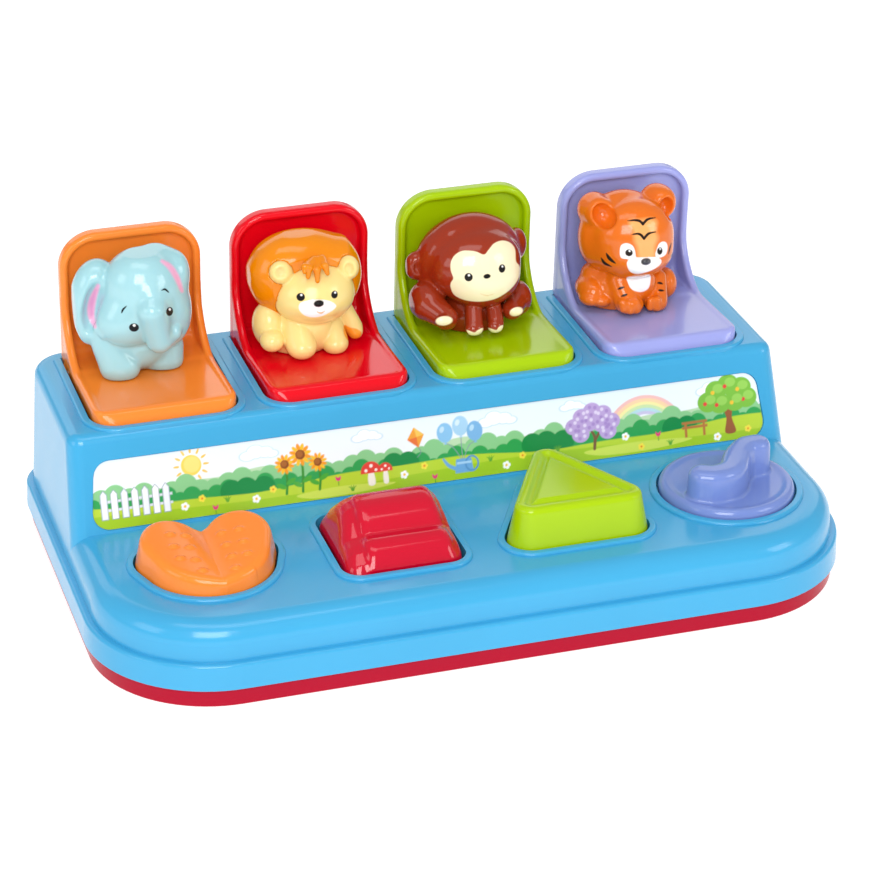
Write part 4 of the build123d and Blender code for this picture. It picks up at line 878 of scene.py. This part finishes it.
# ------------------------------------------------------------------ heart
def heart_outline(lobe_c, lobe_r, tip_c, tip_r, notch_r):
    notch_y = lobe_c[1] + math.sqrt((lobe_r + notch_r) ** 2 - lobe_c[0] ** 2)
    side = math.atan2(lobe_c[1] - tip_c[1], lobe_c[0]) - math.acos((tip_r - lobe_r) / math.hypot(lobe_c[0], lobe_c[1] - tip_c[1]))
    notch = math.atan2(notch_y - lobe_c[1], -lobe_c[0])
    half = []
    for a in np.linspace(-math.pi / 2, side, 20):
        half.append((tip_c[0] + tip_r * math.cos(a), tip_c[1] + tip_r * math.sin(a)))
    for a in np.linspace(side, notch, 24):
        half.append((lobe_c[0] + lobe_r * math.cos(a), lobe_c[1] + lobe_r * math.sin(a)))
    a0 = math.atan2(half[-1][1] - notch_y, half[-1][0])
    for a in np.linspace(a0, -math.pi / 2, 6)[1:]:
        half.append((notch_r * math.cos(a), notch_y + notch_r * math.sin(a)))
    return np.array(half + [(-x, y) for x, y in half[-2:0:-1]])


def build_heart():
    hx, hy = -102.8, -39.6
    base = heart_outline((12.4, 3.4), 14.8, (0.0, -1.5), 25.0, 2.5)
    bumps = [(-115.9, -34.6), (-109.9, -35.4), (-116.3, -42.2), (-110.3, -43.2), (-115.6, -49.8), (-109.9, -51.2), (-109.0, -58.2),
             (-96.9, -36.6), (-90.0, -37.4), (-96.9, -44.4), (-90.2, -45.2), (-96.6, -52.0), (-90.6, -52.8), (-97.0, -59.4)]
    tip = np.array([1.0, -26.3])

    def fn(p):
        x, y, z = p[0] - hx, p[1] - hy, p[2]
        d = sd_poly(x + 0 * y, y + 0 * x, base)
        wall = (d + np.maximum(z - 33.6, 0.0) * 0.20) * 0.98
        ax = np.abs(x)
        # the front comes to a point towards the top
        wedge = np.maximum((tip[1] - y) * 0.930 + (x - tip[0]) * 0.367, (tip[1] - y) * 0.930 - (x - tip[0]) * 0.367)
        wedge = np.maximum(np.maximum(wedge, d), ax - 13.0)
        wedge = np.maximum(wedge, -y - 27.0)
        wall = smin(wall, np.maximum(wedge, y + 12.0), 1.2)
        t = np.clip((y + 26.4) / 40.0, 0, 1)
        rise = (1.4 + 3.9 * t) * (1 - np.exp(-ax / 9.0)) / 0.94
        top = 39.7 + 2.3 * t + rise - 0.0022 * np.maximum(ax - 12, 0) ** 2
        for bx, by in bumps:
            r2 = ((p[0] - bx) * 1.0) ** 2 + ((p[1] - by) * 1.5) ** 2
            top = top + 0.95 * np.exp(-(r2 / 3.2) ** 2)
        f = smax(wall, (z - top) * 0.95, 3.0)
        return np.maximum(f, 25.2 - z)

    me, v = surface("heart_skin", fn, (-132.4, -69.0, 24.4), (-73.2, -19.0, 49.4), 0.5)
    place(me, "heart_top", ORANGE, "heart_push", 0.0, "heart_button")


# ------------------------------------------------------------------ rocker
def build_rocker():
    ribs = closed_curve([(-27.0, 40.0), (-29.6, 46.6), (-33.6, 50.0), (-38.4, 50.6), (-43.4, 49.6), (-47.6, 47.1), (-50.6, 44.2), (-52.4, 42.6),
                         (-54.4, 42.6), (-57.4, 42.7), (-61.2, 40.9), (-64.0, 37.6), (-65.6, 33.6), (-60.0, 32.0), (-40.0, 34.0)], 5)
    block = np.array([(-18.9, 24.2), (-18.9, 31.5), (-20.8, 35), (-24.8, 42.4), (-30.2, 47.4), (-35.0, 48.9), (-40.0, 48.3), (-46.0, 45.2), (-51.0, 41.2),
                      (-55.0, 40.6), (-59.4, 39.4), (-63.6, 36.4), (-65.9, 33.2), (-66.6, 31.6), (-66.6, 29.4), (-65.6, 29.4), (-62.0, 25.8)])

    def fn(p):
        x, y, z = p
        d0 = sd_poly(y + 0 * z, z + 0 * y, block)
        foot = rounded_rect(x + 31.75, y + 42.75, 23.85, 24.15, 7.0)
        rise = np.maximum(z - 33.0, 0)
        side = np.maximum(x + 8.05 + rise * 0.21, -55.45 - x + rise * 0.40)
        f = smax(d0, side * 0.947, 6.0)
        f = smax(f, foot, 2.2)
        d1 = sd_poly(y + 0 * z, z + 0 * y, ribs) - 0.2
        band = np.abs(x + 29.7) - 16.2 - np.clip(48.0 - z, 0, 15) * 0.16
        rib = smax(d1, band, 4.4)
        f = smin(f, rib, 1.0)
        bore = np.hypot(y + 61.4, z - 27.6) - 1.6
        return np.maximum(f, -bore)

    me, v = surface("rocker_skin", fn, (-56.6, -68.0, 23.6), (-6.8, -17.6, 51.6), 0.45)
    place(me, "rocker_top", ROCKER, "rocker", 0.0, "ribbed_rocker")


# ------------------------------------------------------------------ triangle
def build_triangle():
    tri = np.array([(9.7, -64.6), (68.1, -64.6), (38.9, -10.6)])

    def inset(d):
        out = []
        for i in range(3):
            a, b, n = tri[i - 1], tri[i], tri[(i + 1) % 3]
            e1, e2 = (b - a) / np.linalg.norm(b - a), (n - b) / np.linalg.norm(n - b)
            n1, n2 = np.array([-e1[1], e1[0]]), np.array([-e2[1], e2[0]])
            out.append(b + (n1 + n2) / (1 + n1 @ n2) * d)
        return np.array(out)

    core = inset(6.0)

    def fn(p):
        x, y, z = p
        d = sd_poly(x + 0 * y, y + 0 * x, core) - 6.0
        wall = (d - np.clip(50.0 - z, 0, 16.9) * 0.189) * 0.98
        f = smax(wall, z - 50.0 + 0.0 * x, 2.4)
        u = np.clip((d + 5.4) / 2.2, -1.0, 1.0)
        dip = 1.45 * (1.0 - u * u) ** 1.2
        f = np.maximum(f, smax(wall, z - 50.0 + dip, 1.2) * 0.9)
        return np.maximum(f, 25.2 - z)

    me, v = surface("triangle_skin", fn, (4.2, -70.4, 24.4), (73.6, -3.4, 50.9), 0.5)
    place(me, "triangle_top", LIME, "triangle_push", 0.0, "triangle_button")


# ------------------------------------------------------------------ dial
def build_dial():
    line = open_curve([(93.6, -50.2), (97.6, -52.0), (102.6, -51.4), (106.8, -48.6), (109.8, -44.0), (112.6, -39.8), (117.2, -36.2), (122.2, -35.6)], 6)

    def fn(p):
        x, y, z = p
        r = np.hypot(x - 107.6, y + 41.6)
        disc = smax(r - 27.0 + np.maximum(35.0 - z, 0) * 0.05, z - 38.0, 4.6)
        dish = smax(r - 23.8, 36.2 + 0.0020 * r * r - z, 3.0)
        disc = smax(disc, -dish, 2.2)
        disc = np.maximum(disc, 31.0 - z)
        d = np.full((x + 0 * y).shape, 1e9)
        for a, b in zip(line[:-1], line[1:]):
            e = b - a
            wx, wy = x - a[0], y - a[1]
            t = np.clip((wx * e[0] + wy * e[1]) / (e @ e), 0, 1)
            d = np.minimum(d, np.hypot(wx - e[0] * t, wy - e[1] * t))
        t = np.clip((x - 106.0) / 12.0, 0, 1)
        ridge = smax(d - 6.0 + np.maximum(z - 38.0, 0) * 0.05, z - 49.2 - 1.7 * t * t * (3 - 2 * t), 4.2)
        ridge = np.maximum(ridge, 33.0 - z)
        f = smin(disc, ridge, 1.4)
        hub = np.maximum(r - 7.0, np.maximum(27.3 - z, z - 32.0))
        ring = np.maximum(r - 10.0, np.maximum(30.45 - z, z - 32.0))
        f = np.minimum(f, np.minimum(hub, ring))
        return np.maximum(f, -(np.maximum(r - 1.53, z - 36.0)))

    me, v = surface("dial_skin", fn, (79.8, -69.4, 26.4), (135.4, -13.8, 51.9), 0.5)
    place(me, "dial_top", DIAL, "dial", 0.0, "swirl_dial")


# ------------------------------------------------------------------ button springs
def build_spring(node, cx, cy):
    """Wound spring under a button."""
    turns, around, round_ = 7.0, 40, 10
    radius, wire, z0, z1 = 6.5, 0.55, 2.55, 23.45
    n = int(turns * around)
    verts, faces = [], []
    for i in range(n + 1):
        a = 2 * np.pi * i / around
        t = np.clip((i - around) / (n - 2.0 * around), 0, 1)      # closed end turns
        z = z0 + wire + 1e-3 + (z1 - z0 - 2 * wire) * (0.05 * min(i / around, 1) + 0.9 * t + 0.05 * max(0.0, (i - n + around) / around))
        for k in range(round_):
            b = 2 * np.pi * k / round_
            r = radius + wire * np.cos(b)
            verts.append((cx + r * np.cos(a), cy + r * np.sin(a), z + 0.999 * wire * np.sin(b)))
    for i in range(n):
        for k in range(round_):
            q = (k + 1) % round_
            faces.append((i * round_ + k, i * round_ + q, (i + 1) * round_ + q, (i + 1) * round_ + k)[::-1])
    faces.append(tuple(range(round_)))
    faces.append(tuple(n * round_ + k for k in reversed(range(round_))))
    me = bpy.data.meshes.new(node + "_wire")
    me.from_pydata(verts, [], faces)
    me.polygons.foreach_set("use_smooth", [True] * len(me.polygons))
    me.update()
    o = place(me, node + "_wire", STEEL, "housing", 0.0, node)
    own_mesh(o)


build_lids()
build_spring("heart_spring", -102.8, -41.6)
build_spring("triangle_spring", 38.9, -47.0)
build_heart()
build_rocker()
build_triangle()
build_dial()


# ------------------------------------------------------------------ picture strip: a plain garden scene
def build_strip():
    fy0, fy1, fz0, fz1 = -6.1, 4.9, 33.1, 67.5
    lo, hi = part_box("picture_label")
    zc = 47.2
    slope = np.array([0.0, STRIP_N[2], -STRIP_N[1]])
    slope = slope / np.linalg.norm(slope)
    outline = []
    corners = [(-140.05, -13.45), (140.05, -13.45), (136.8, 13.45), (-136.8, 13.45)]
    for i in range(4):
        a, b, c = (np.array(corners[j % 4]) for j in (i - 1, i, i + 1))
        e1, e2 = (a - b) / np.linalg.norm(a - b), (c - b) / np.linalg.norm(c - b)
        half = math.acos(float(e1 @ e2)) / 2
        ctr = b + (e1 + e2) / np.linalg.norm(e1 + e2) * 6.55 / math.sin(half)
        p0, p1 = b + e1 * 6.55 / math.tan(half), b + e2 * 6.55 / math.tan(half)
        a0, a1 = math.atan2(*(p0 - ctr)[::-1]), math.atan2(*(p1 - ctr)[::-1])
        if a1 < a0:
            a1 += 2 * math.pi
        for t in np.linspace(a0, a1, 14):
            outline.append(ctr + 6.55 * np.array([math.cos(t), math.sin(t)]))
    outline = np.array(outline)
    nu, nv = 860, 84
    s = np.sin(np.linspace(-1, 1, nu) * math.pi / 2 * 0.985) / math.sin(math.pi / 2 * 0.985) * 0.06 + np.linspace(-1, 1, nu) * 0.94
    s = np.clip(s, -0.99999, 0.99999)

    def width(v):
        return 138.425 - v * 3.25 / 26.9

    ends = []
    for sign in (-1, 1):
        inside, outside = np.zeros(nu), np.full(nu, sign * 13.6)
        for _ in range(22):
            mid = (inside + outside) / 2
            ok = sd_poly(s * width(mid), mid, outline) <= 1e-4
            inside, outside = np.where(ok, mid, inside), np.where(ok, outside, mid)
        ends.append(inside)
    t = np.linspace(0, 1, nv)[:, None]
    V = ends[0][None] * (1 - t) + ends[1][None] * t
    Uu = s[None] * width(V)
    u, v = Uu, V
    aa = 0.16

    def rgb(h):
        c = np.array([int(h[i:i + 2], 16) for i in (0, 2, 4)]) / 255.0
        return np.where(c < 0.04045, c / 12.92, ((c + 0.055) / 1.055) ** 2.4)

    img = np.empty((*u.shape, 3))
    k = np.clip((v + 4) / 17, 0, 1)[..., None]
    img[:] = rgb("FBFDFD") * (1 - k) + rgb("E6F2FA") * k

    def lay(d, col, alpha=1.0):
        a = np.clip(0.5 - d / (2 * aa), 0, 1) * alpha
        img[:] = img * (1 - a[..., None]) + rgb(col) * a[..., None]

    def oval(c, r, turn=0.0):
        return sd_oval(u, v, c, r, turn)

    def many(ds):
        return np.minimum.reduce(ds)

    # rainbow at the right, sun at the left
    for r, col in ((17.5, "F7B7B0"), (16.2, "FBD9A6"), (14.9, "F7F0A8"), (13.6, "C6E6B0"), (12.3, "B4DCEE"), (11.0, "CFC2E4")):
        lay(np.hypot(u - 88, v + 7.5) - r, col, 0.85)
    lay(np.hypot(u - 88, v + 7.5) - 9.7, "F6FBFD")
    for a in range(12):
        c, q = math.cos(a * math.pi / 6), math.sin(a * math.pi / 6)
        lay(sd_stroke(u, v, [(-99 + 5.2 * c, 7.2 + 5.2 * q), (-99 + 7.0 * c, 7.2 + 7.0 * q)], 0.45, 0.2), "FBC95A")
    lay(oval((-99, 7.2), (4.1, 4.1)), "FCD65E")
    lay(oval((-98.7, 7.5), (3.2, 3.2)), "FDE07E")
    # clouds
    for cx, cy, sc in ((-72, 8.2, 1.0), (-28, 9.0, 0.8), (26, 8.4, 1.05), (58, 9.6, 0.7), (118, 8.6, 0.9)):
        ds = [oval((cx + dx * sc, cy + dy * sc), (rx * sc, ry * sc)) for dx, dy, rx, ry in
              ((-4.4, -0.6, 3.0, 1.7), (-1.2, 0.7, 3.3, 2.5), (2.8, 0.2, 3.0, 2.0), (5.4, -0.8, 2.3, 1.3))]
        lay(many(ds) - 0.35, "C9E1F1")
        lay(many(ds), "FFFFFF")
    # far hills and hedges
    lay(v - (0.2 + 2.3 * np.sin(u / 15.0 + 0.6) + 1.0 * np.sin(u / 6.1)), "BFDDB4")
    hedge = []
    for i, x0 in enumerate(np.arange(-141, 142, 5.6)):
        h = (0.0, 1.6, 2.9, 0.8, 2.2, -0.9, 1.2, 3.3, 0.4)[i % 9]
        hedge.append(oval((x0, -4.0 + h), (4.6, 4.9)))
    lay(many(hedge), "8CCB8D")
    hedge = []
    for i, x0 in enumerate(np.arange(-139, 142, 4.9)):
        h = (1.3, -0.7, 0.6, 2.0, -1.2, 0.2, 2.6, -0.3)[i % 8]
        hedge.append(oval((x0, -6.6 + h), (3.9, 4.3)))
    lay(many(hedge), "2FA052")
    hedge = []
    for x0 in (-84, -78, -71, -18, -12, 40, 46, 53, 100, 106):
        hedge.append(oval((x0, -4.6 + 1.1 * math.sin(x0)), (4.6, 4.7)))
    lay(many(hedge), "188A45")
    # meadow
    lay(v - (-5.4 + 1.4 * np.sin(u / 24.0 + 2.0) + 0.5 * np.sin(u / 9.0)), "BBD53B")
    lay(v - (-8.9 + 1.2 * np.sin(u / 31.0 + 0.4)), "A3C92C")
    lay(sd_poly(u, v, closed_curve([(-58, -10.6), (-40, -9.4), (-18, -10.8), (-30, -12.6), (-50, -12.9)])), "CFE05A")
    lay(sd_poly(u, v, closed_curve([(62, -9.6), (84, -8.6), (108, -10.2), (92, -12.4), (70, -12.2)])), "CFE05A")

    # picket fence
    for yy in (-6.0, -2.6):
        lay(sd_poly(u, v, np.array([(-136, yy - 0.5), (-107.5, yy - 0.5), (-107.5, yy + 0.5), (-136, yy + 0.5)])), "DDE3EA")
    for i, x0 in enumerate(np.arange(-134.5, -107, 4.1)):
        post = np.array([(x0 - 1.15, -9.4), (x0 + 1.15, -9.4), (x0 + 1.15, 0.2), (x0, 1.7), (x0 - 1.15, 0.2)])
        lay(sd_poly(u, v, post) - 0.28, "8F9DAE")
        lay(sd_poly(u, v, post), "FFFFFF" if i % 2 else "F1F5F9")
    # sunflowers
    for x0, y0, r in ((-62, 2.4, 3.1), (-55.4, 5.4, 3.5), (-48.6, 1.6, 2.9)):
        lay(sd_stroke(u, v, [(x0, y0), (x0 + 0.5, y0 - 6), (x0 - 0.2, -9.4)], 0.42, 0.5), "3B8F35")
        for sg in (-1, 1):
            lay(oval((x0 + sg * 2.0, -5.4 + sg * 0.8), (2.1, 0.95), 28 * sg), "4BA83C")
        for a in range(12):
            c, q = math.cos(a * math.pi / 6 + 0.2), math.sin(a * math.pi / 6 + 0.2)
            lay(oval((x0 + r * 0.86 * c, y0 + r * 0.86 * q), (r * 0.44, r * 0.22), math.degrees(a * math.pi / 6 + 0.2)), "F59A22" if a % 2 else "FBC02D")
        lay(oval((x0, y0), (r * 0.56, r * 0.56)), "8A4B1E")
        lay(oval((x0 - 0.2, y0 + 0.2), (r * 0.36, r * 0.36)), "A9652C")
    # toadstools
    for x0, sc in ((-27.5, 1.0), (-21.6, 0.72)):
        lay(sd_poly(u, v, closed_curve([(x0 - 1.3 * sc, -10.4), (x0 - 1.0 * sc, -5.6), (x0 + 1.0 * sc, -5.6), (x0 + 1.4 * sc, -10.4)])), "F7EFE0")
        cap = np.maximum(oval((x0, -5.6), (4.2 * sc, 4.4 * sc)), -(v + 5.9))
        lay(cap, "E2483D")
        for dx, dy, r in ((-2.0, 0.9, 0.62), (0.2, 2.6, 0.7), (2.1, 0.8, 0.55)):
            lay(oval((x0 + dx * sc, -5.6 + dy * sc), (r * sc, r * sc)), "FFF6EC")
    # balloons in pale blue
    for x0, y0, col, hi_ in ((4.0, 6.0, "8CC4EC", "C4E2F6"), (10.6, 8.0, "A9D3F0", "D6ECF9"), (16.4, 5.2, "7DB5E4", "B9DCF4")):
        lay(sd_stroke(u, v, [(x0, y0 - 4), (x0 + (10.4 - x0) * 0.5, -0.6), (10.6, -6.4)], 0.16, 0.16), "8A97A6")
        lay(oval((x0, y0), (3.3, 4.0)), col)
        lay(oval((x0 - 1.1, y0 + 1.4), (0.9, 1.3), -24), hi_)
        lay(sd_poly(u, v, np.array([(x0 - 0.7, y0 - 4.7), (x0 + 0.7, y0 - 4.7), (x0, y0 - 3.7)])), col)
    # watering can
    lay(sd_poly(u, v, np.array([(7.4, -10.6), (14.4, -10.6), (13.8, -5.6), (8.0, -5.6)])) - 0.3, "6FA9DC")
    lay(sd_stroke(u, v, [(8.2, -9.4), (4.6, -7.4), (2.6, -4.6)], 0.7, 0.45), "6FA9DC")
    lay(np.abs(oval((14.2, -7.6), (2.6, 2.9))) - 0.35, "5B95CB")
    lay(sd_poly(u, v, np.array([(7.9, -7.4), (14.1, -7.4), (14.1, -6.5), (7.9, -6.5)])), "A8D0F0")
    # lilac shrub
    lay(many([sd_stroke(u, v, [(66, -9), (66.4, -4), (64, 0)], 0.6, 0.3), sd_stroke(u, v, [(66.2, -6), (69, -2), (72, 1)], 0.5, 0.3)]), "7A5A3C")
    blooms = [(58, 1.0), (61.5, 4.6), (66, 6.6), (70.6, 5.0), (74, 1.4), (69.6, 0.8), (64.4, 1.6), (60.6, -2.4), (72.2, -2.4)]
    lay(many([oval(b, (3.7, 3.3)) for b in blooms]), "BFA5D9")
    for i, b in enumerate(blooms):
        for a in range(5):
            lay(oval((b[0] + 1.9 * math.cos(a * 1.256 + i), b[1] + 1.7 * math.sin(a * 1.256 + i)), (0.72, 0.72)), "E3D5F1" if (a + i) % 2 else "A98BCB")
    # rounded tree and a bench at the right end
    lay(sd_poly(u, v, closed_curve([(122.6, -10), (123.4, -4), (121.8, 2), (126.4, 2), (125.8, -4), (127.2, -10)])), "9A5B35")
    crown = [(116, 3.4), (119.6, 7.6), (125, 9.6), (130.4, 7.8), (132.6, 3.4), (127.6, 2.6), (121, 2.4)]
    lay(many([oval(b, (4.6, 4.2)) for b in crown]), "7DBE43")
    for i, b in enumerate(crown):
        lay(oval((b[0] + 1.0, b[1] + 0.9), (2.3, 1.9)), "97CF5A")
        lay(oval((b[0] - 1.4, b[1] - 0.6), (0.85, 0.85)), "E2483D" if i % 2 == 0 else "F3C23B")
    lay(many([sd_poly(u, v, np.array([(104, -6.4), (115, -6.4), (115, -5.3), (104, -5.3)])),
              sd_poly(u, v, np.array([(104, -4.4), (115, -4.4), (115, -3.4), (104, -3.4)])),
              sd_poly(u, v, np.array([(105, -9.8), (106.1, -9.8), (106.1, -3.4), (105, -3.4)])),
              sd_poly(u, v, np.array([(112.9, -9.8), (114, -9.8), (114, -3.4), (112.9, -3.4)]))]), "B9783F")
    # small flowers and grass
    for i, (x0, y0) in enumerate(((-103, -8.6), (-96, -6.4), (-91, -10.6), (-86, -8.0), (-74.5, -9.6), (-67.5, -6.8), (-41, -6.2), (-35.5, -10.8),
                                  (-14, -8.4), (-5.5, -6.0), (-1.5, -10.8), (22, -6.8), (28.5, -10.4), (35.5, -7.4), (44, -10.0), (50.5, -6.6),
                                  (79.5, -5.8), (86, -10.8), (93.5, -6.6), (98.5, -10.6), (119, -11.2), (132.5, -9.6))):
        kind = i % 4
        if kind == 0:
            for a in range(5):
                lay(oval((x0 + 0.95 * math.cos(a * 1.2566), y0 + 0.95 * math.sin(a * 1.2566)), (0.72, 0.72)), "FFFFFF")
            lay(oval((x0, y0), (0.55, 0.55)), "F6C433")
        elif kind == 1:
            for a in range(5):
                lay(oval((x0 + 0.85 * math.cos(a * 1.2566), y0 + 0.85 * math.sin(a * 1.2566)), (0.64, 0.64)), "F7E14B")
            lay(oval((x0, y0), (0.45, 0.45)), "E8912D")
        elif kind == 2:
            lay(sd_stroke(u, v, [(x0, y0), (x0, y0 - 2.6)], 0.16, 0.16), "4C9A3A")
            lay(sd_poly(u, v, closed_curve([(x0 - 1.1, y0 + 1.0), (x0 - 0.9, y0 - 0.5), (x0, y0 - 1.0), (x0 + 0.9, y0 - 0.5), (x0 + 1.1, y0 + 1.0), (x0, y0 + 0.3)], 4)), "E0457B")
        else:
            for dx in (-1.1, -0.4, 0.4, 1.1):
                lay(sd_stroke(u, v, [(x0 + dx * 0.3, y0 - 1.0), (x0 + dx * 0.7, y0 + 0.2), (x0 + dx * 1.4, y0 + 1.3 - abs(dx) * 0.5)], 0.22, 0.08), "5FA636")
    # kite
    lay(sd_poly(u, v, np.array([(-8.6, 9.9), (-4.6, 6.6), (-7.2, 1.6), (-11.6, 5.2)])), "F2A13A")
    lay(sd_poly(u, v, np.array([(-8.6, 9.9), (-4.6, 6.6), (-7.7, 5.9)])), "F4C65A")
    lay(sd_poly(u, v, np.array([(-7.2, 1.6), (-11.6, 5.2), (-7.7, 5.9)])), "E8743B")
    lay(sd_stroke(u, v, [(-7.2, 1.6), (-6.4, -0.4), (-8.0, -2.2)], 0.15, 0.15), "7A8794")

    n0 = len(V) * nu
    origin = np.array([0.0, fy0 + (zc - fz0) * (fy1 - fy0) / (fz1 - fz0), zc])
    front = origin + np.array([1.0, 0, 0]) * Uu[..., None] + slope * V[..., None] + STRIP_N * -0.6
    ring = [(0, i) for i in range(nu)] + [(j, nu - 1) for j in range(1, nv)] + [(nv - 1, i) for i in range(nu - 2, -1, -1)] + [(j, 0) for j in range(nv - 2, 0, -1)]
    fidx = np.array([a * nu + b for a, b in ring])
    flat = front.reshape(-1, 3)
    backp = flat[fidx] - STRIP_N * 0.4
    verts = np.vstack([flat, backp])
    q = np.arange(nv - 1)[:, None] * nu + np.arange(nu - 1)[None]
    quads = np.stack([q, q + 1, q + nu + 1, q + nu], -1).reshape(-1, 4)
    m = len(ring)
    k0 = np.arange(m)
    k1 = (k0 + 1) % m
    sides = np.stack([fidx[k0], n0 + k0, n0 + k1, fidx[k1]], 1)
    faces = [tuple(map(int, f)) for f in quads] + [tuple(map(int, f)) for f in sides] + [tuple(int(n0 + i) for i in range(m - 1, -1, -1))]
    me = bpy.data.meshes.new("strip_print")
    me.from_pydata((verts * MM).tolist(), [], faces)
    me.validate()
    me.update()
    col = me.color_attributes.new("print", "FLOAT_COLOR", "POINT")
    rgba = np.ones((len(verts), 4), np.float32)
    rgba[:n0, :3] = img.reshape(-1, 3)
    col.data.foreach_set("color", rgba.ravel())
    mat = material("printed_strip", (0.9, 0.9, 0.9), rough=0.24, coat=0.25, sss=0.0, speckle=0.008, bump=0.004, orange_peel=200.0)
    nt = mat.node_tree
    an = nt.nodes.new("ShaderNodeAttribute")
    an.attribute_name = "print"
    nt.links.new(an.outputs["Color"], nt.nodes[mat["hsv"]].inputs["Color"])
    o = bpy.data.objects.new("picture_strip", me)
    bpy.context.scene.collection.objects.link(o)
    me.materials.append(mat)
    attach(o, "housing")
    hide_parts("picture_label")


STRIP_N = np.array([0.0, -34.4, 11.0]) / math.hypot(34.4, 11.0)
build_strip()
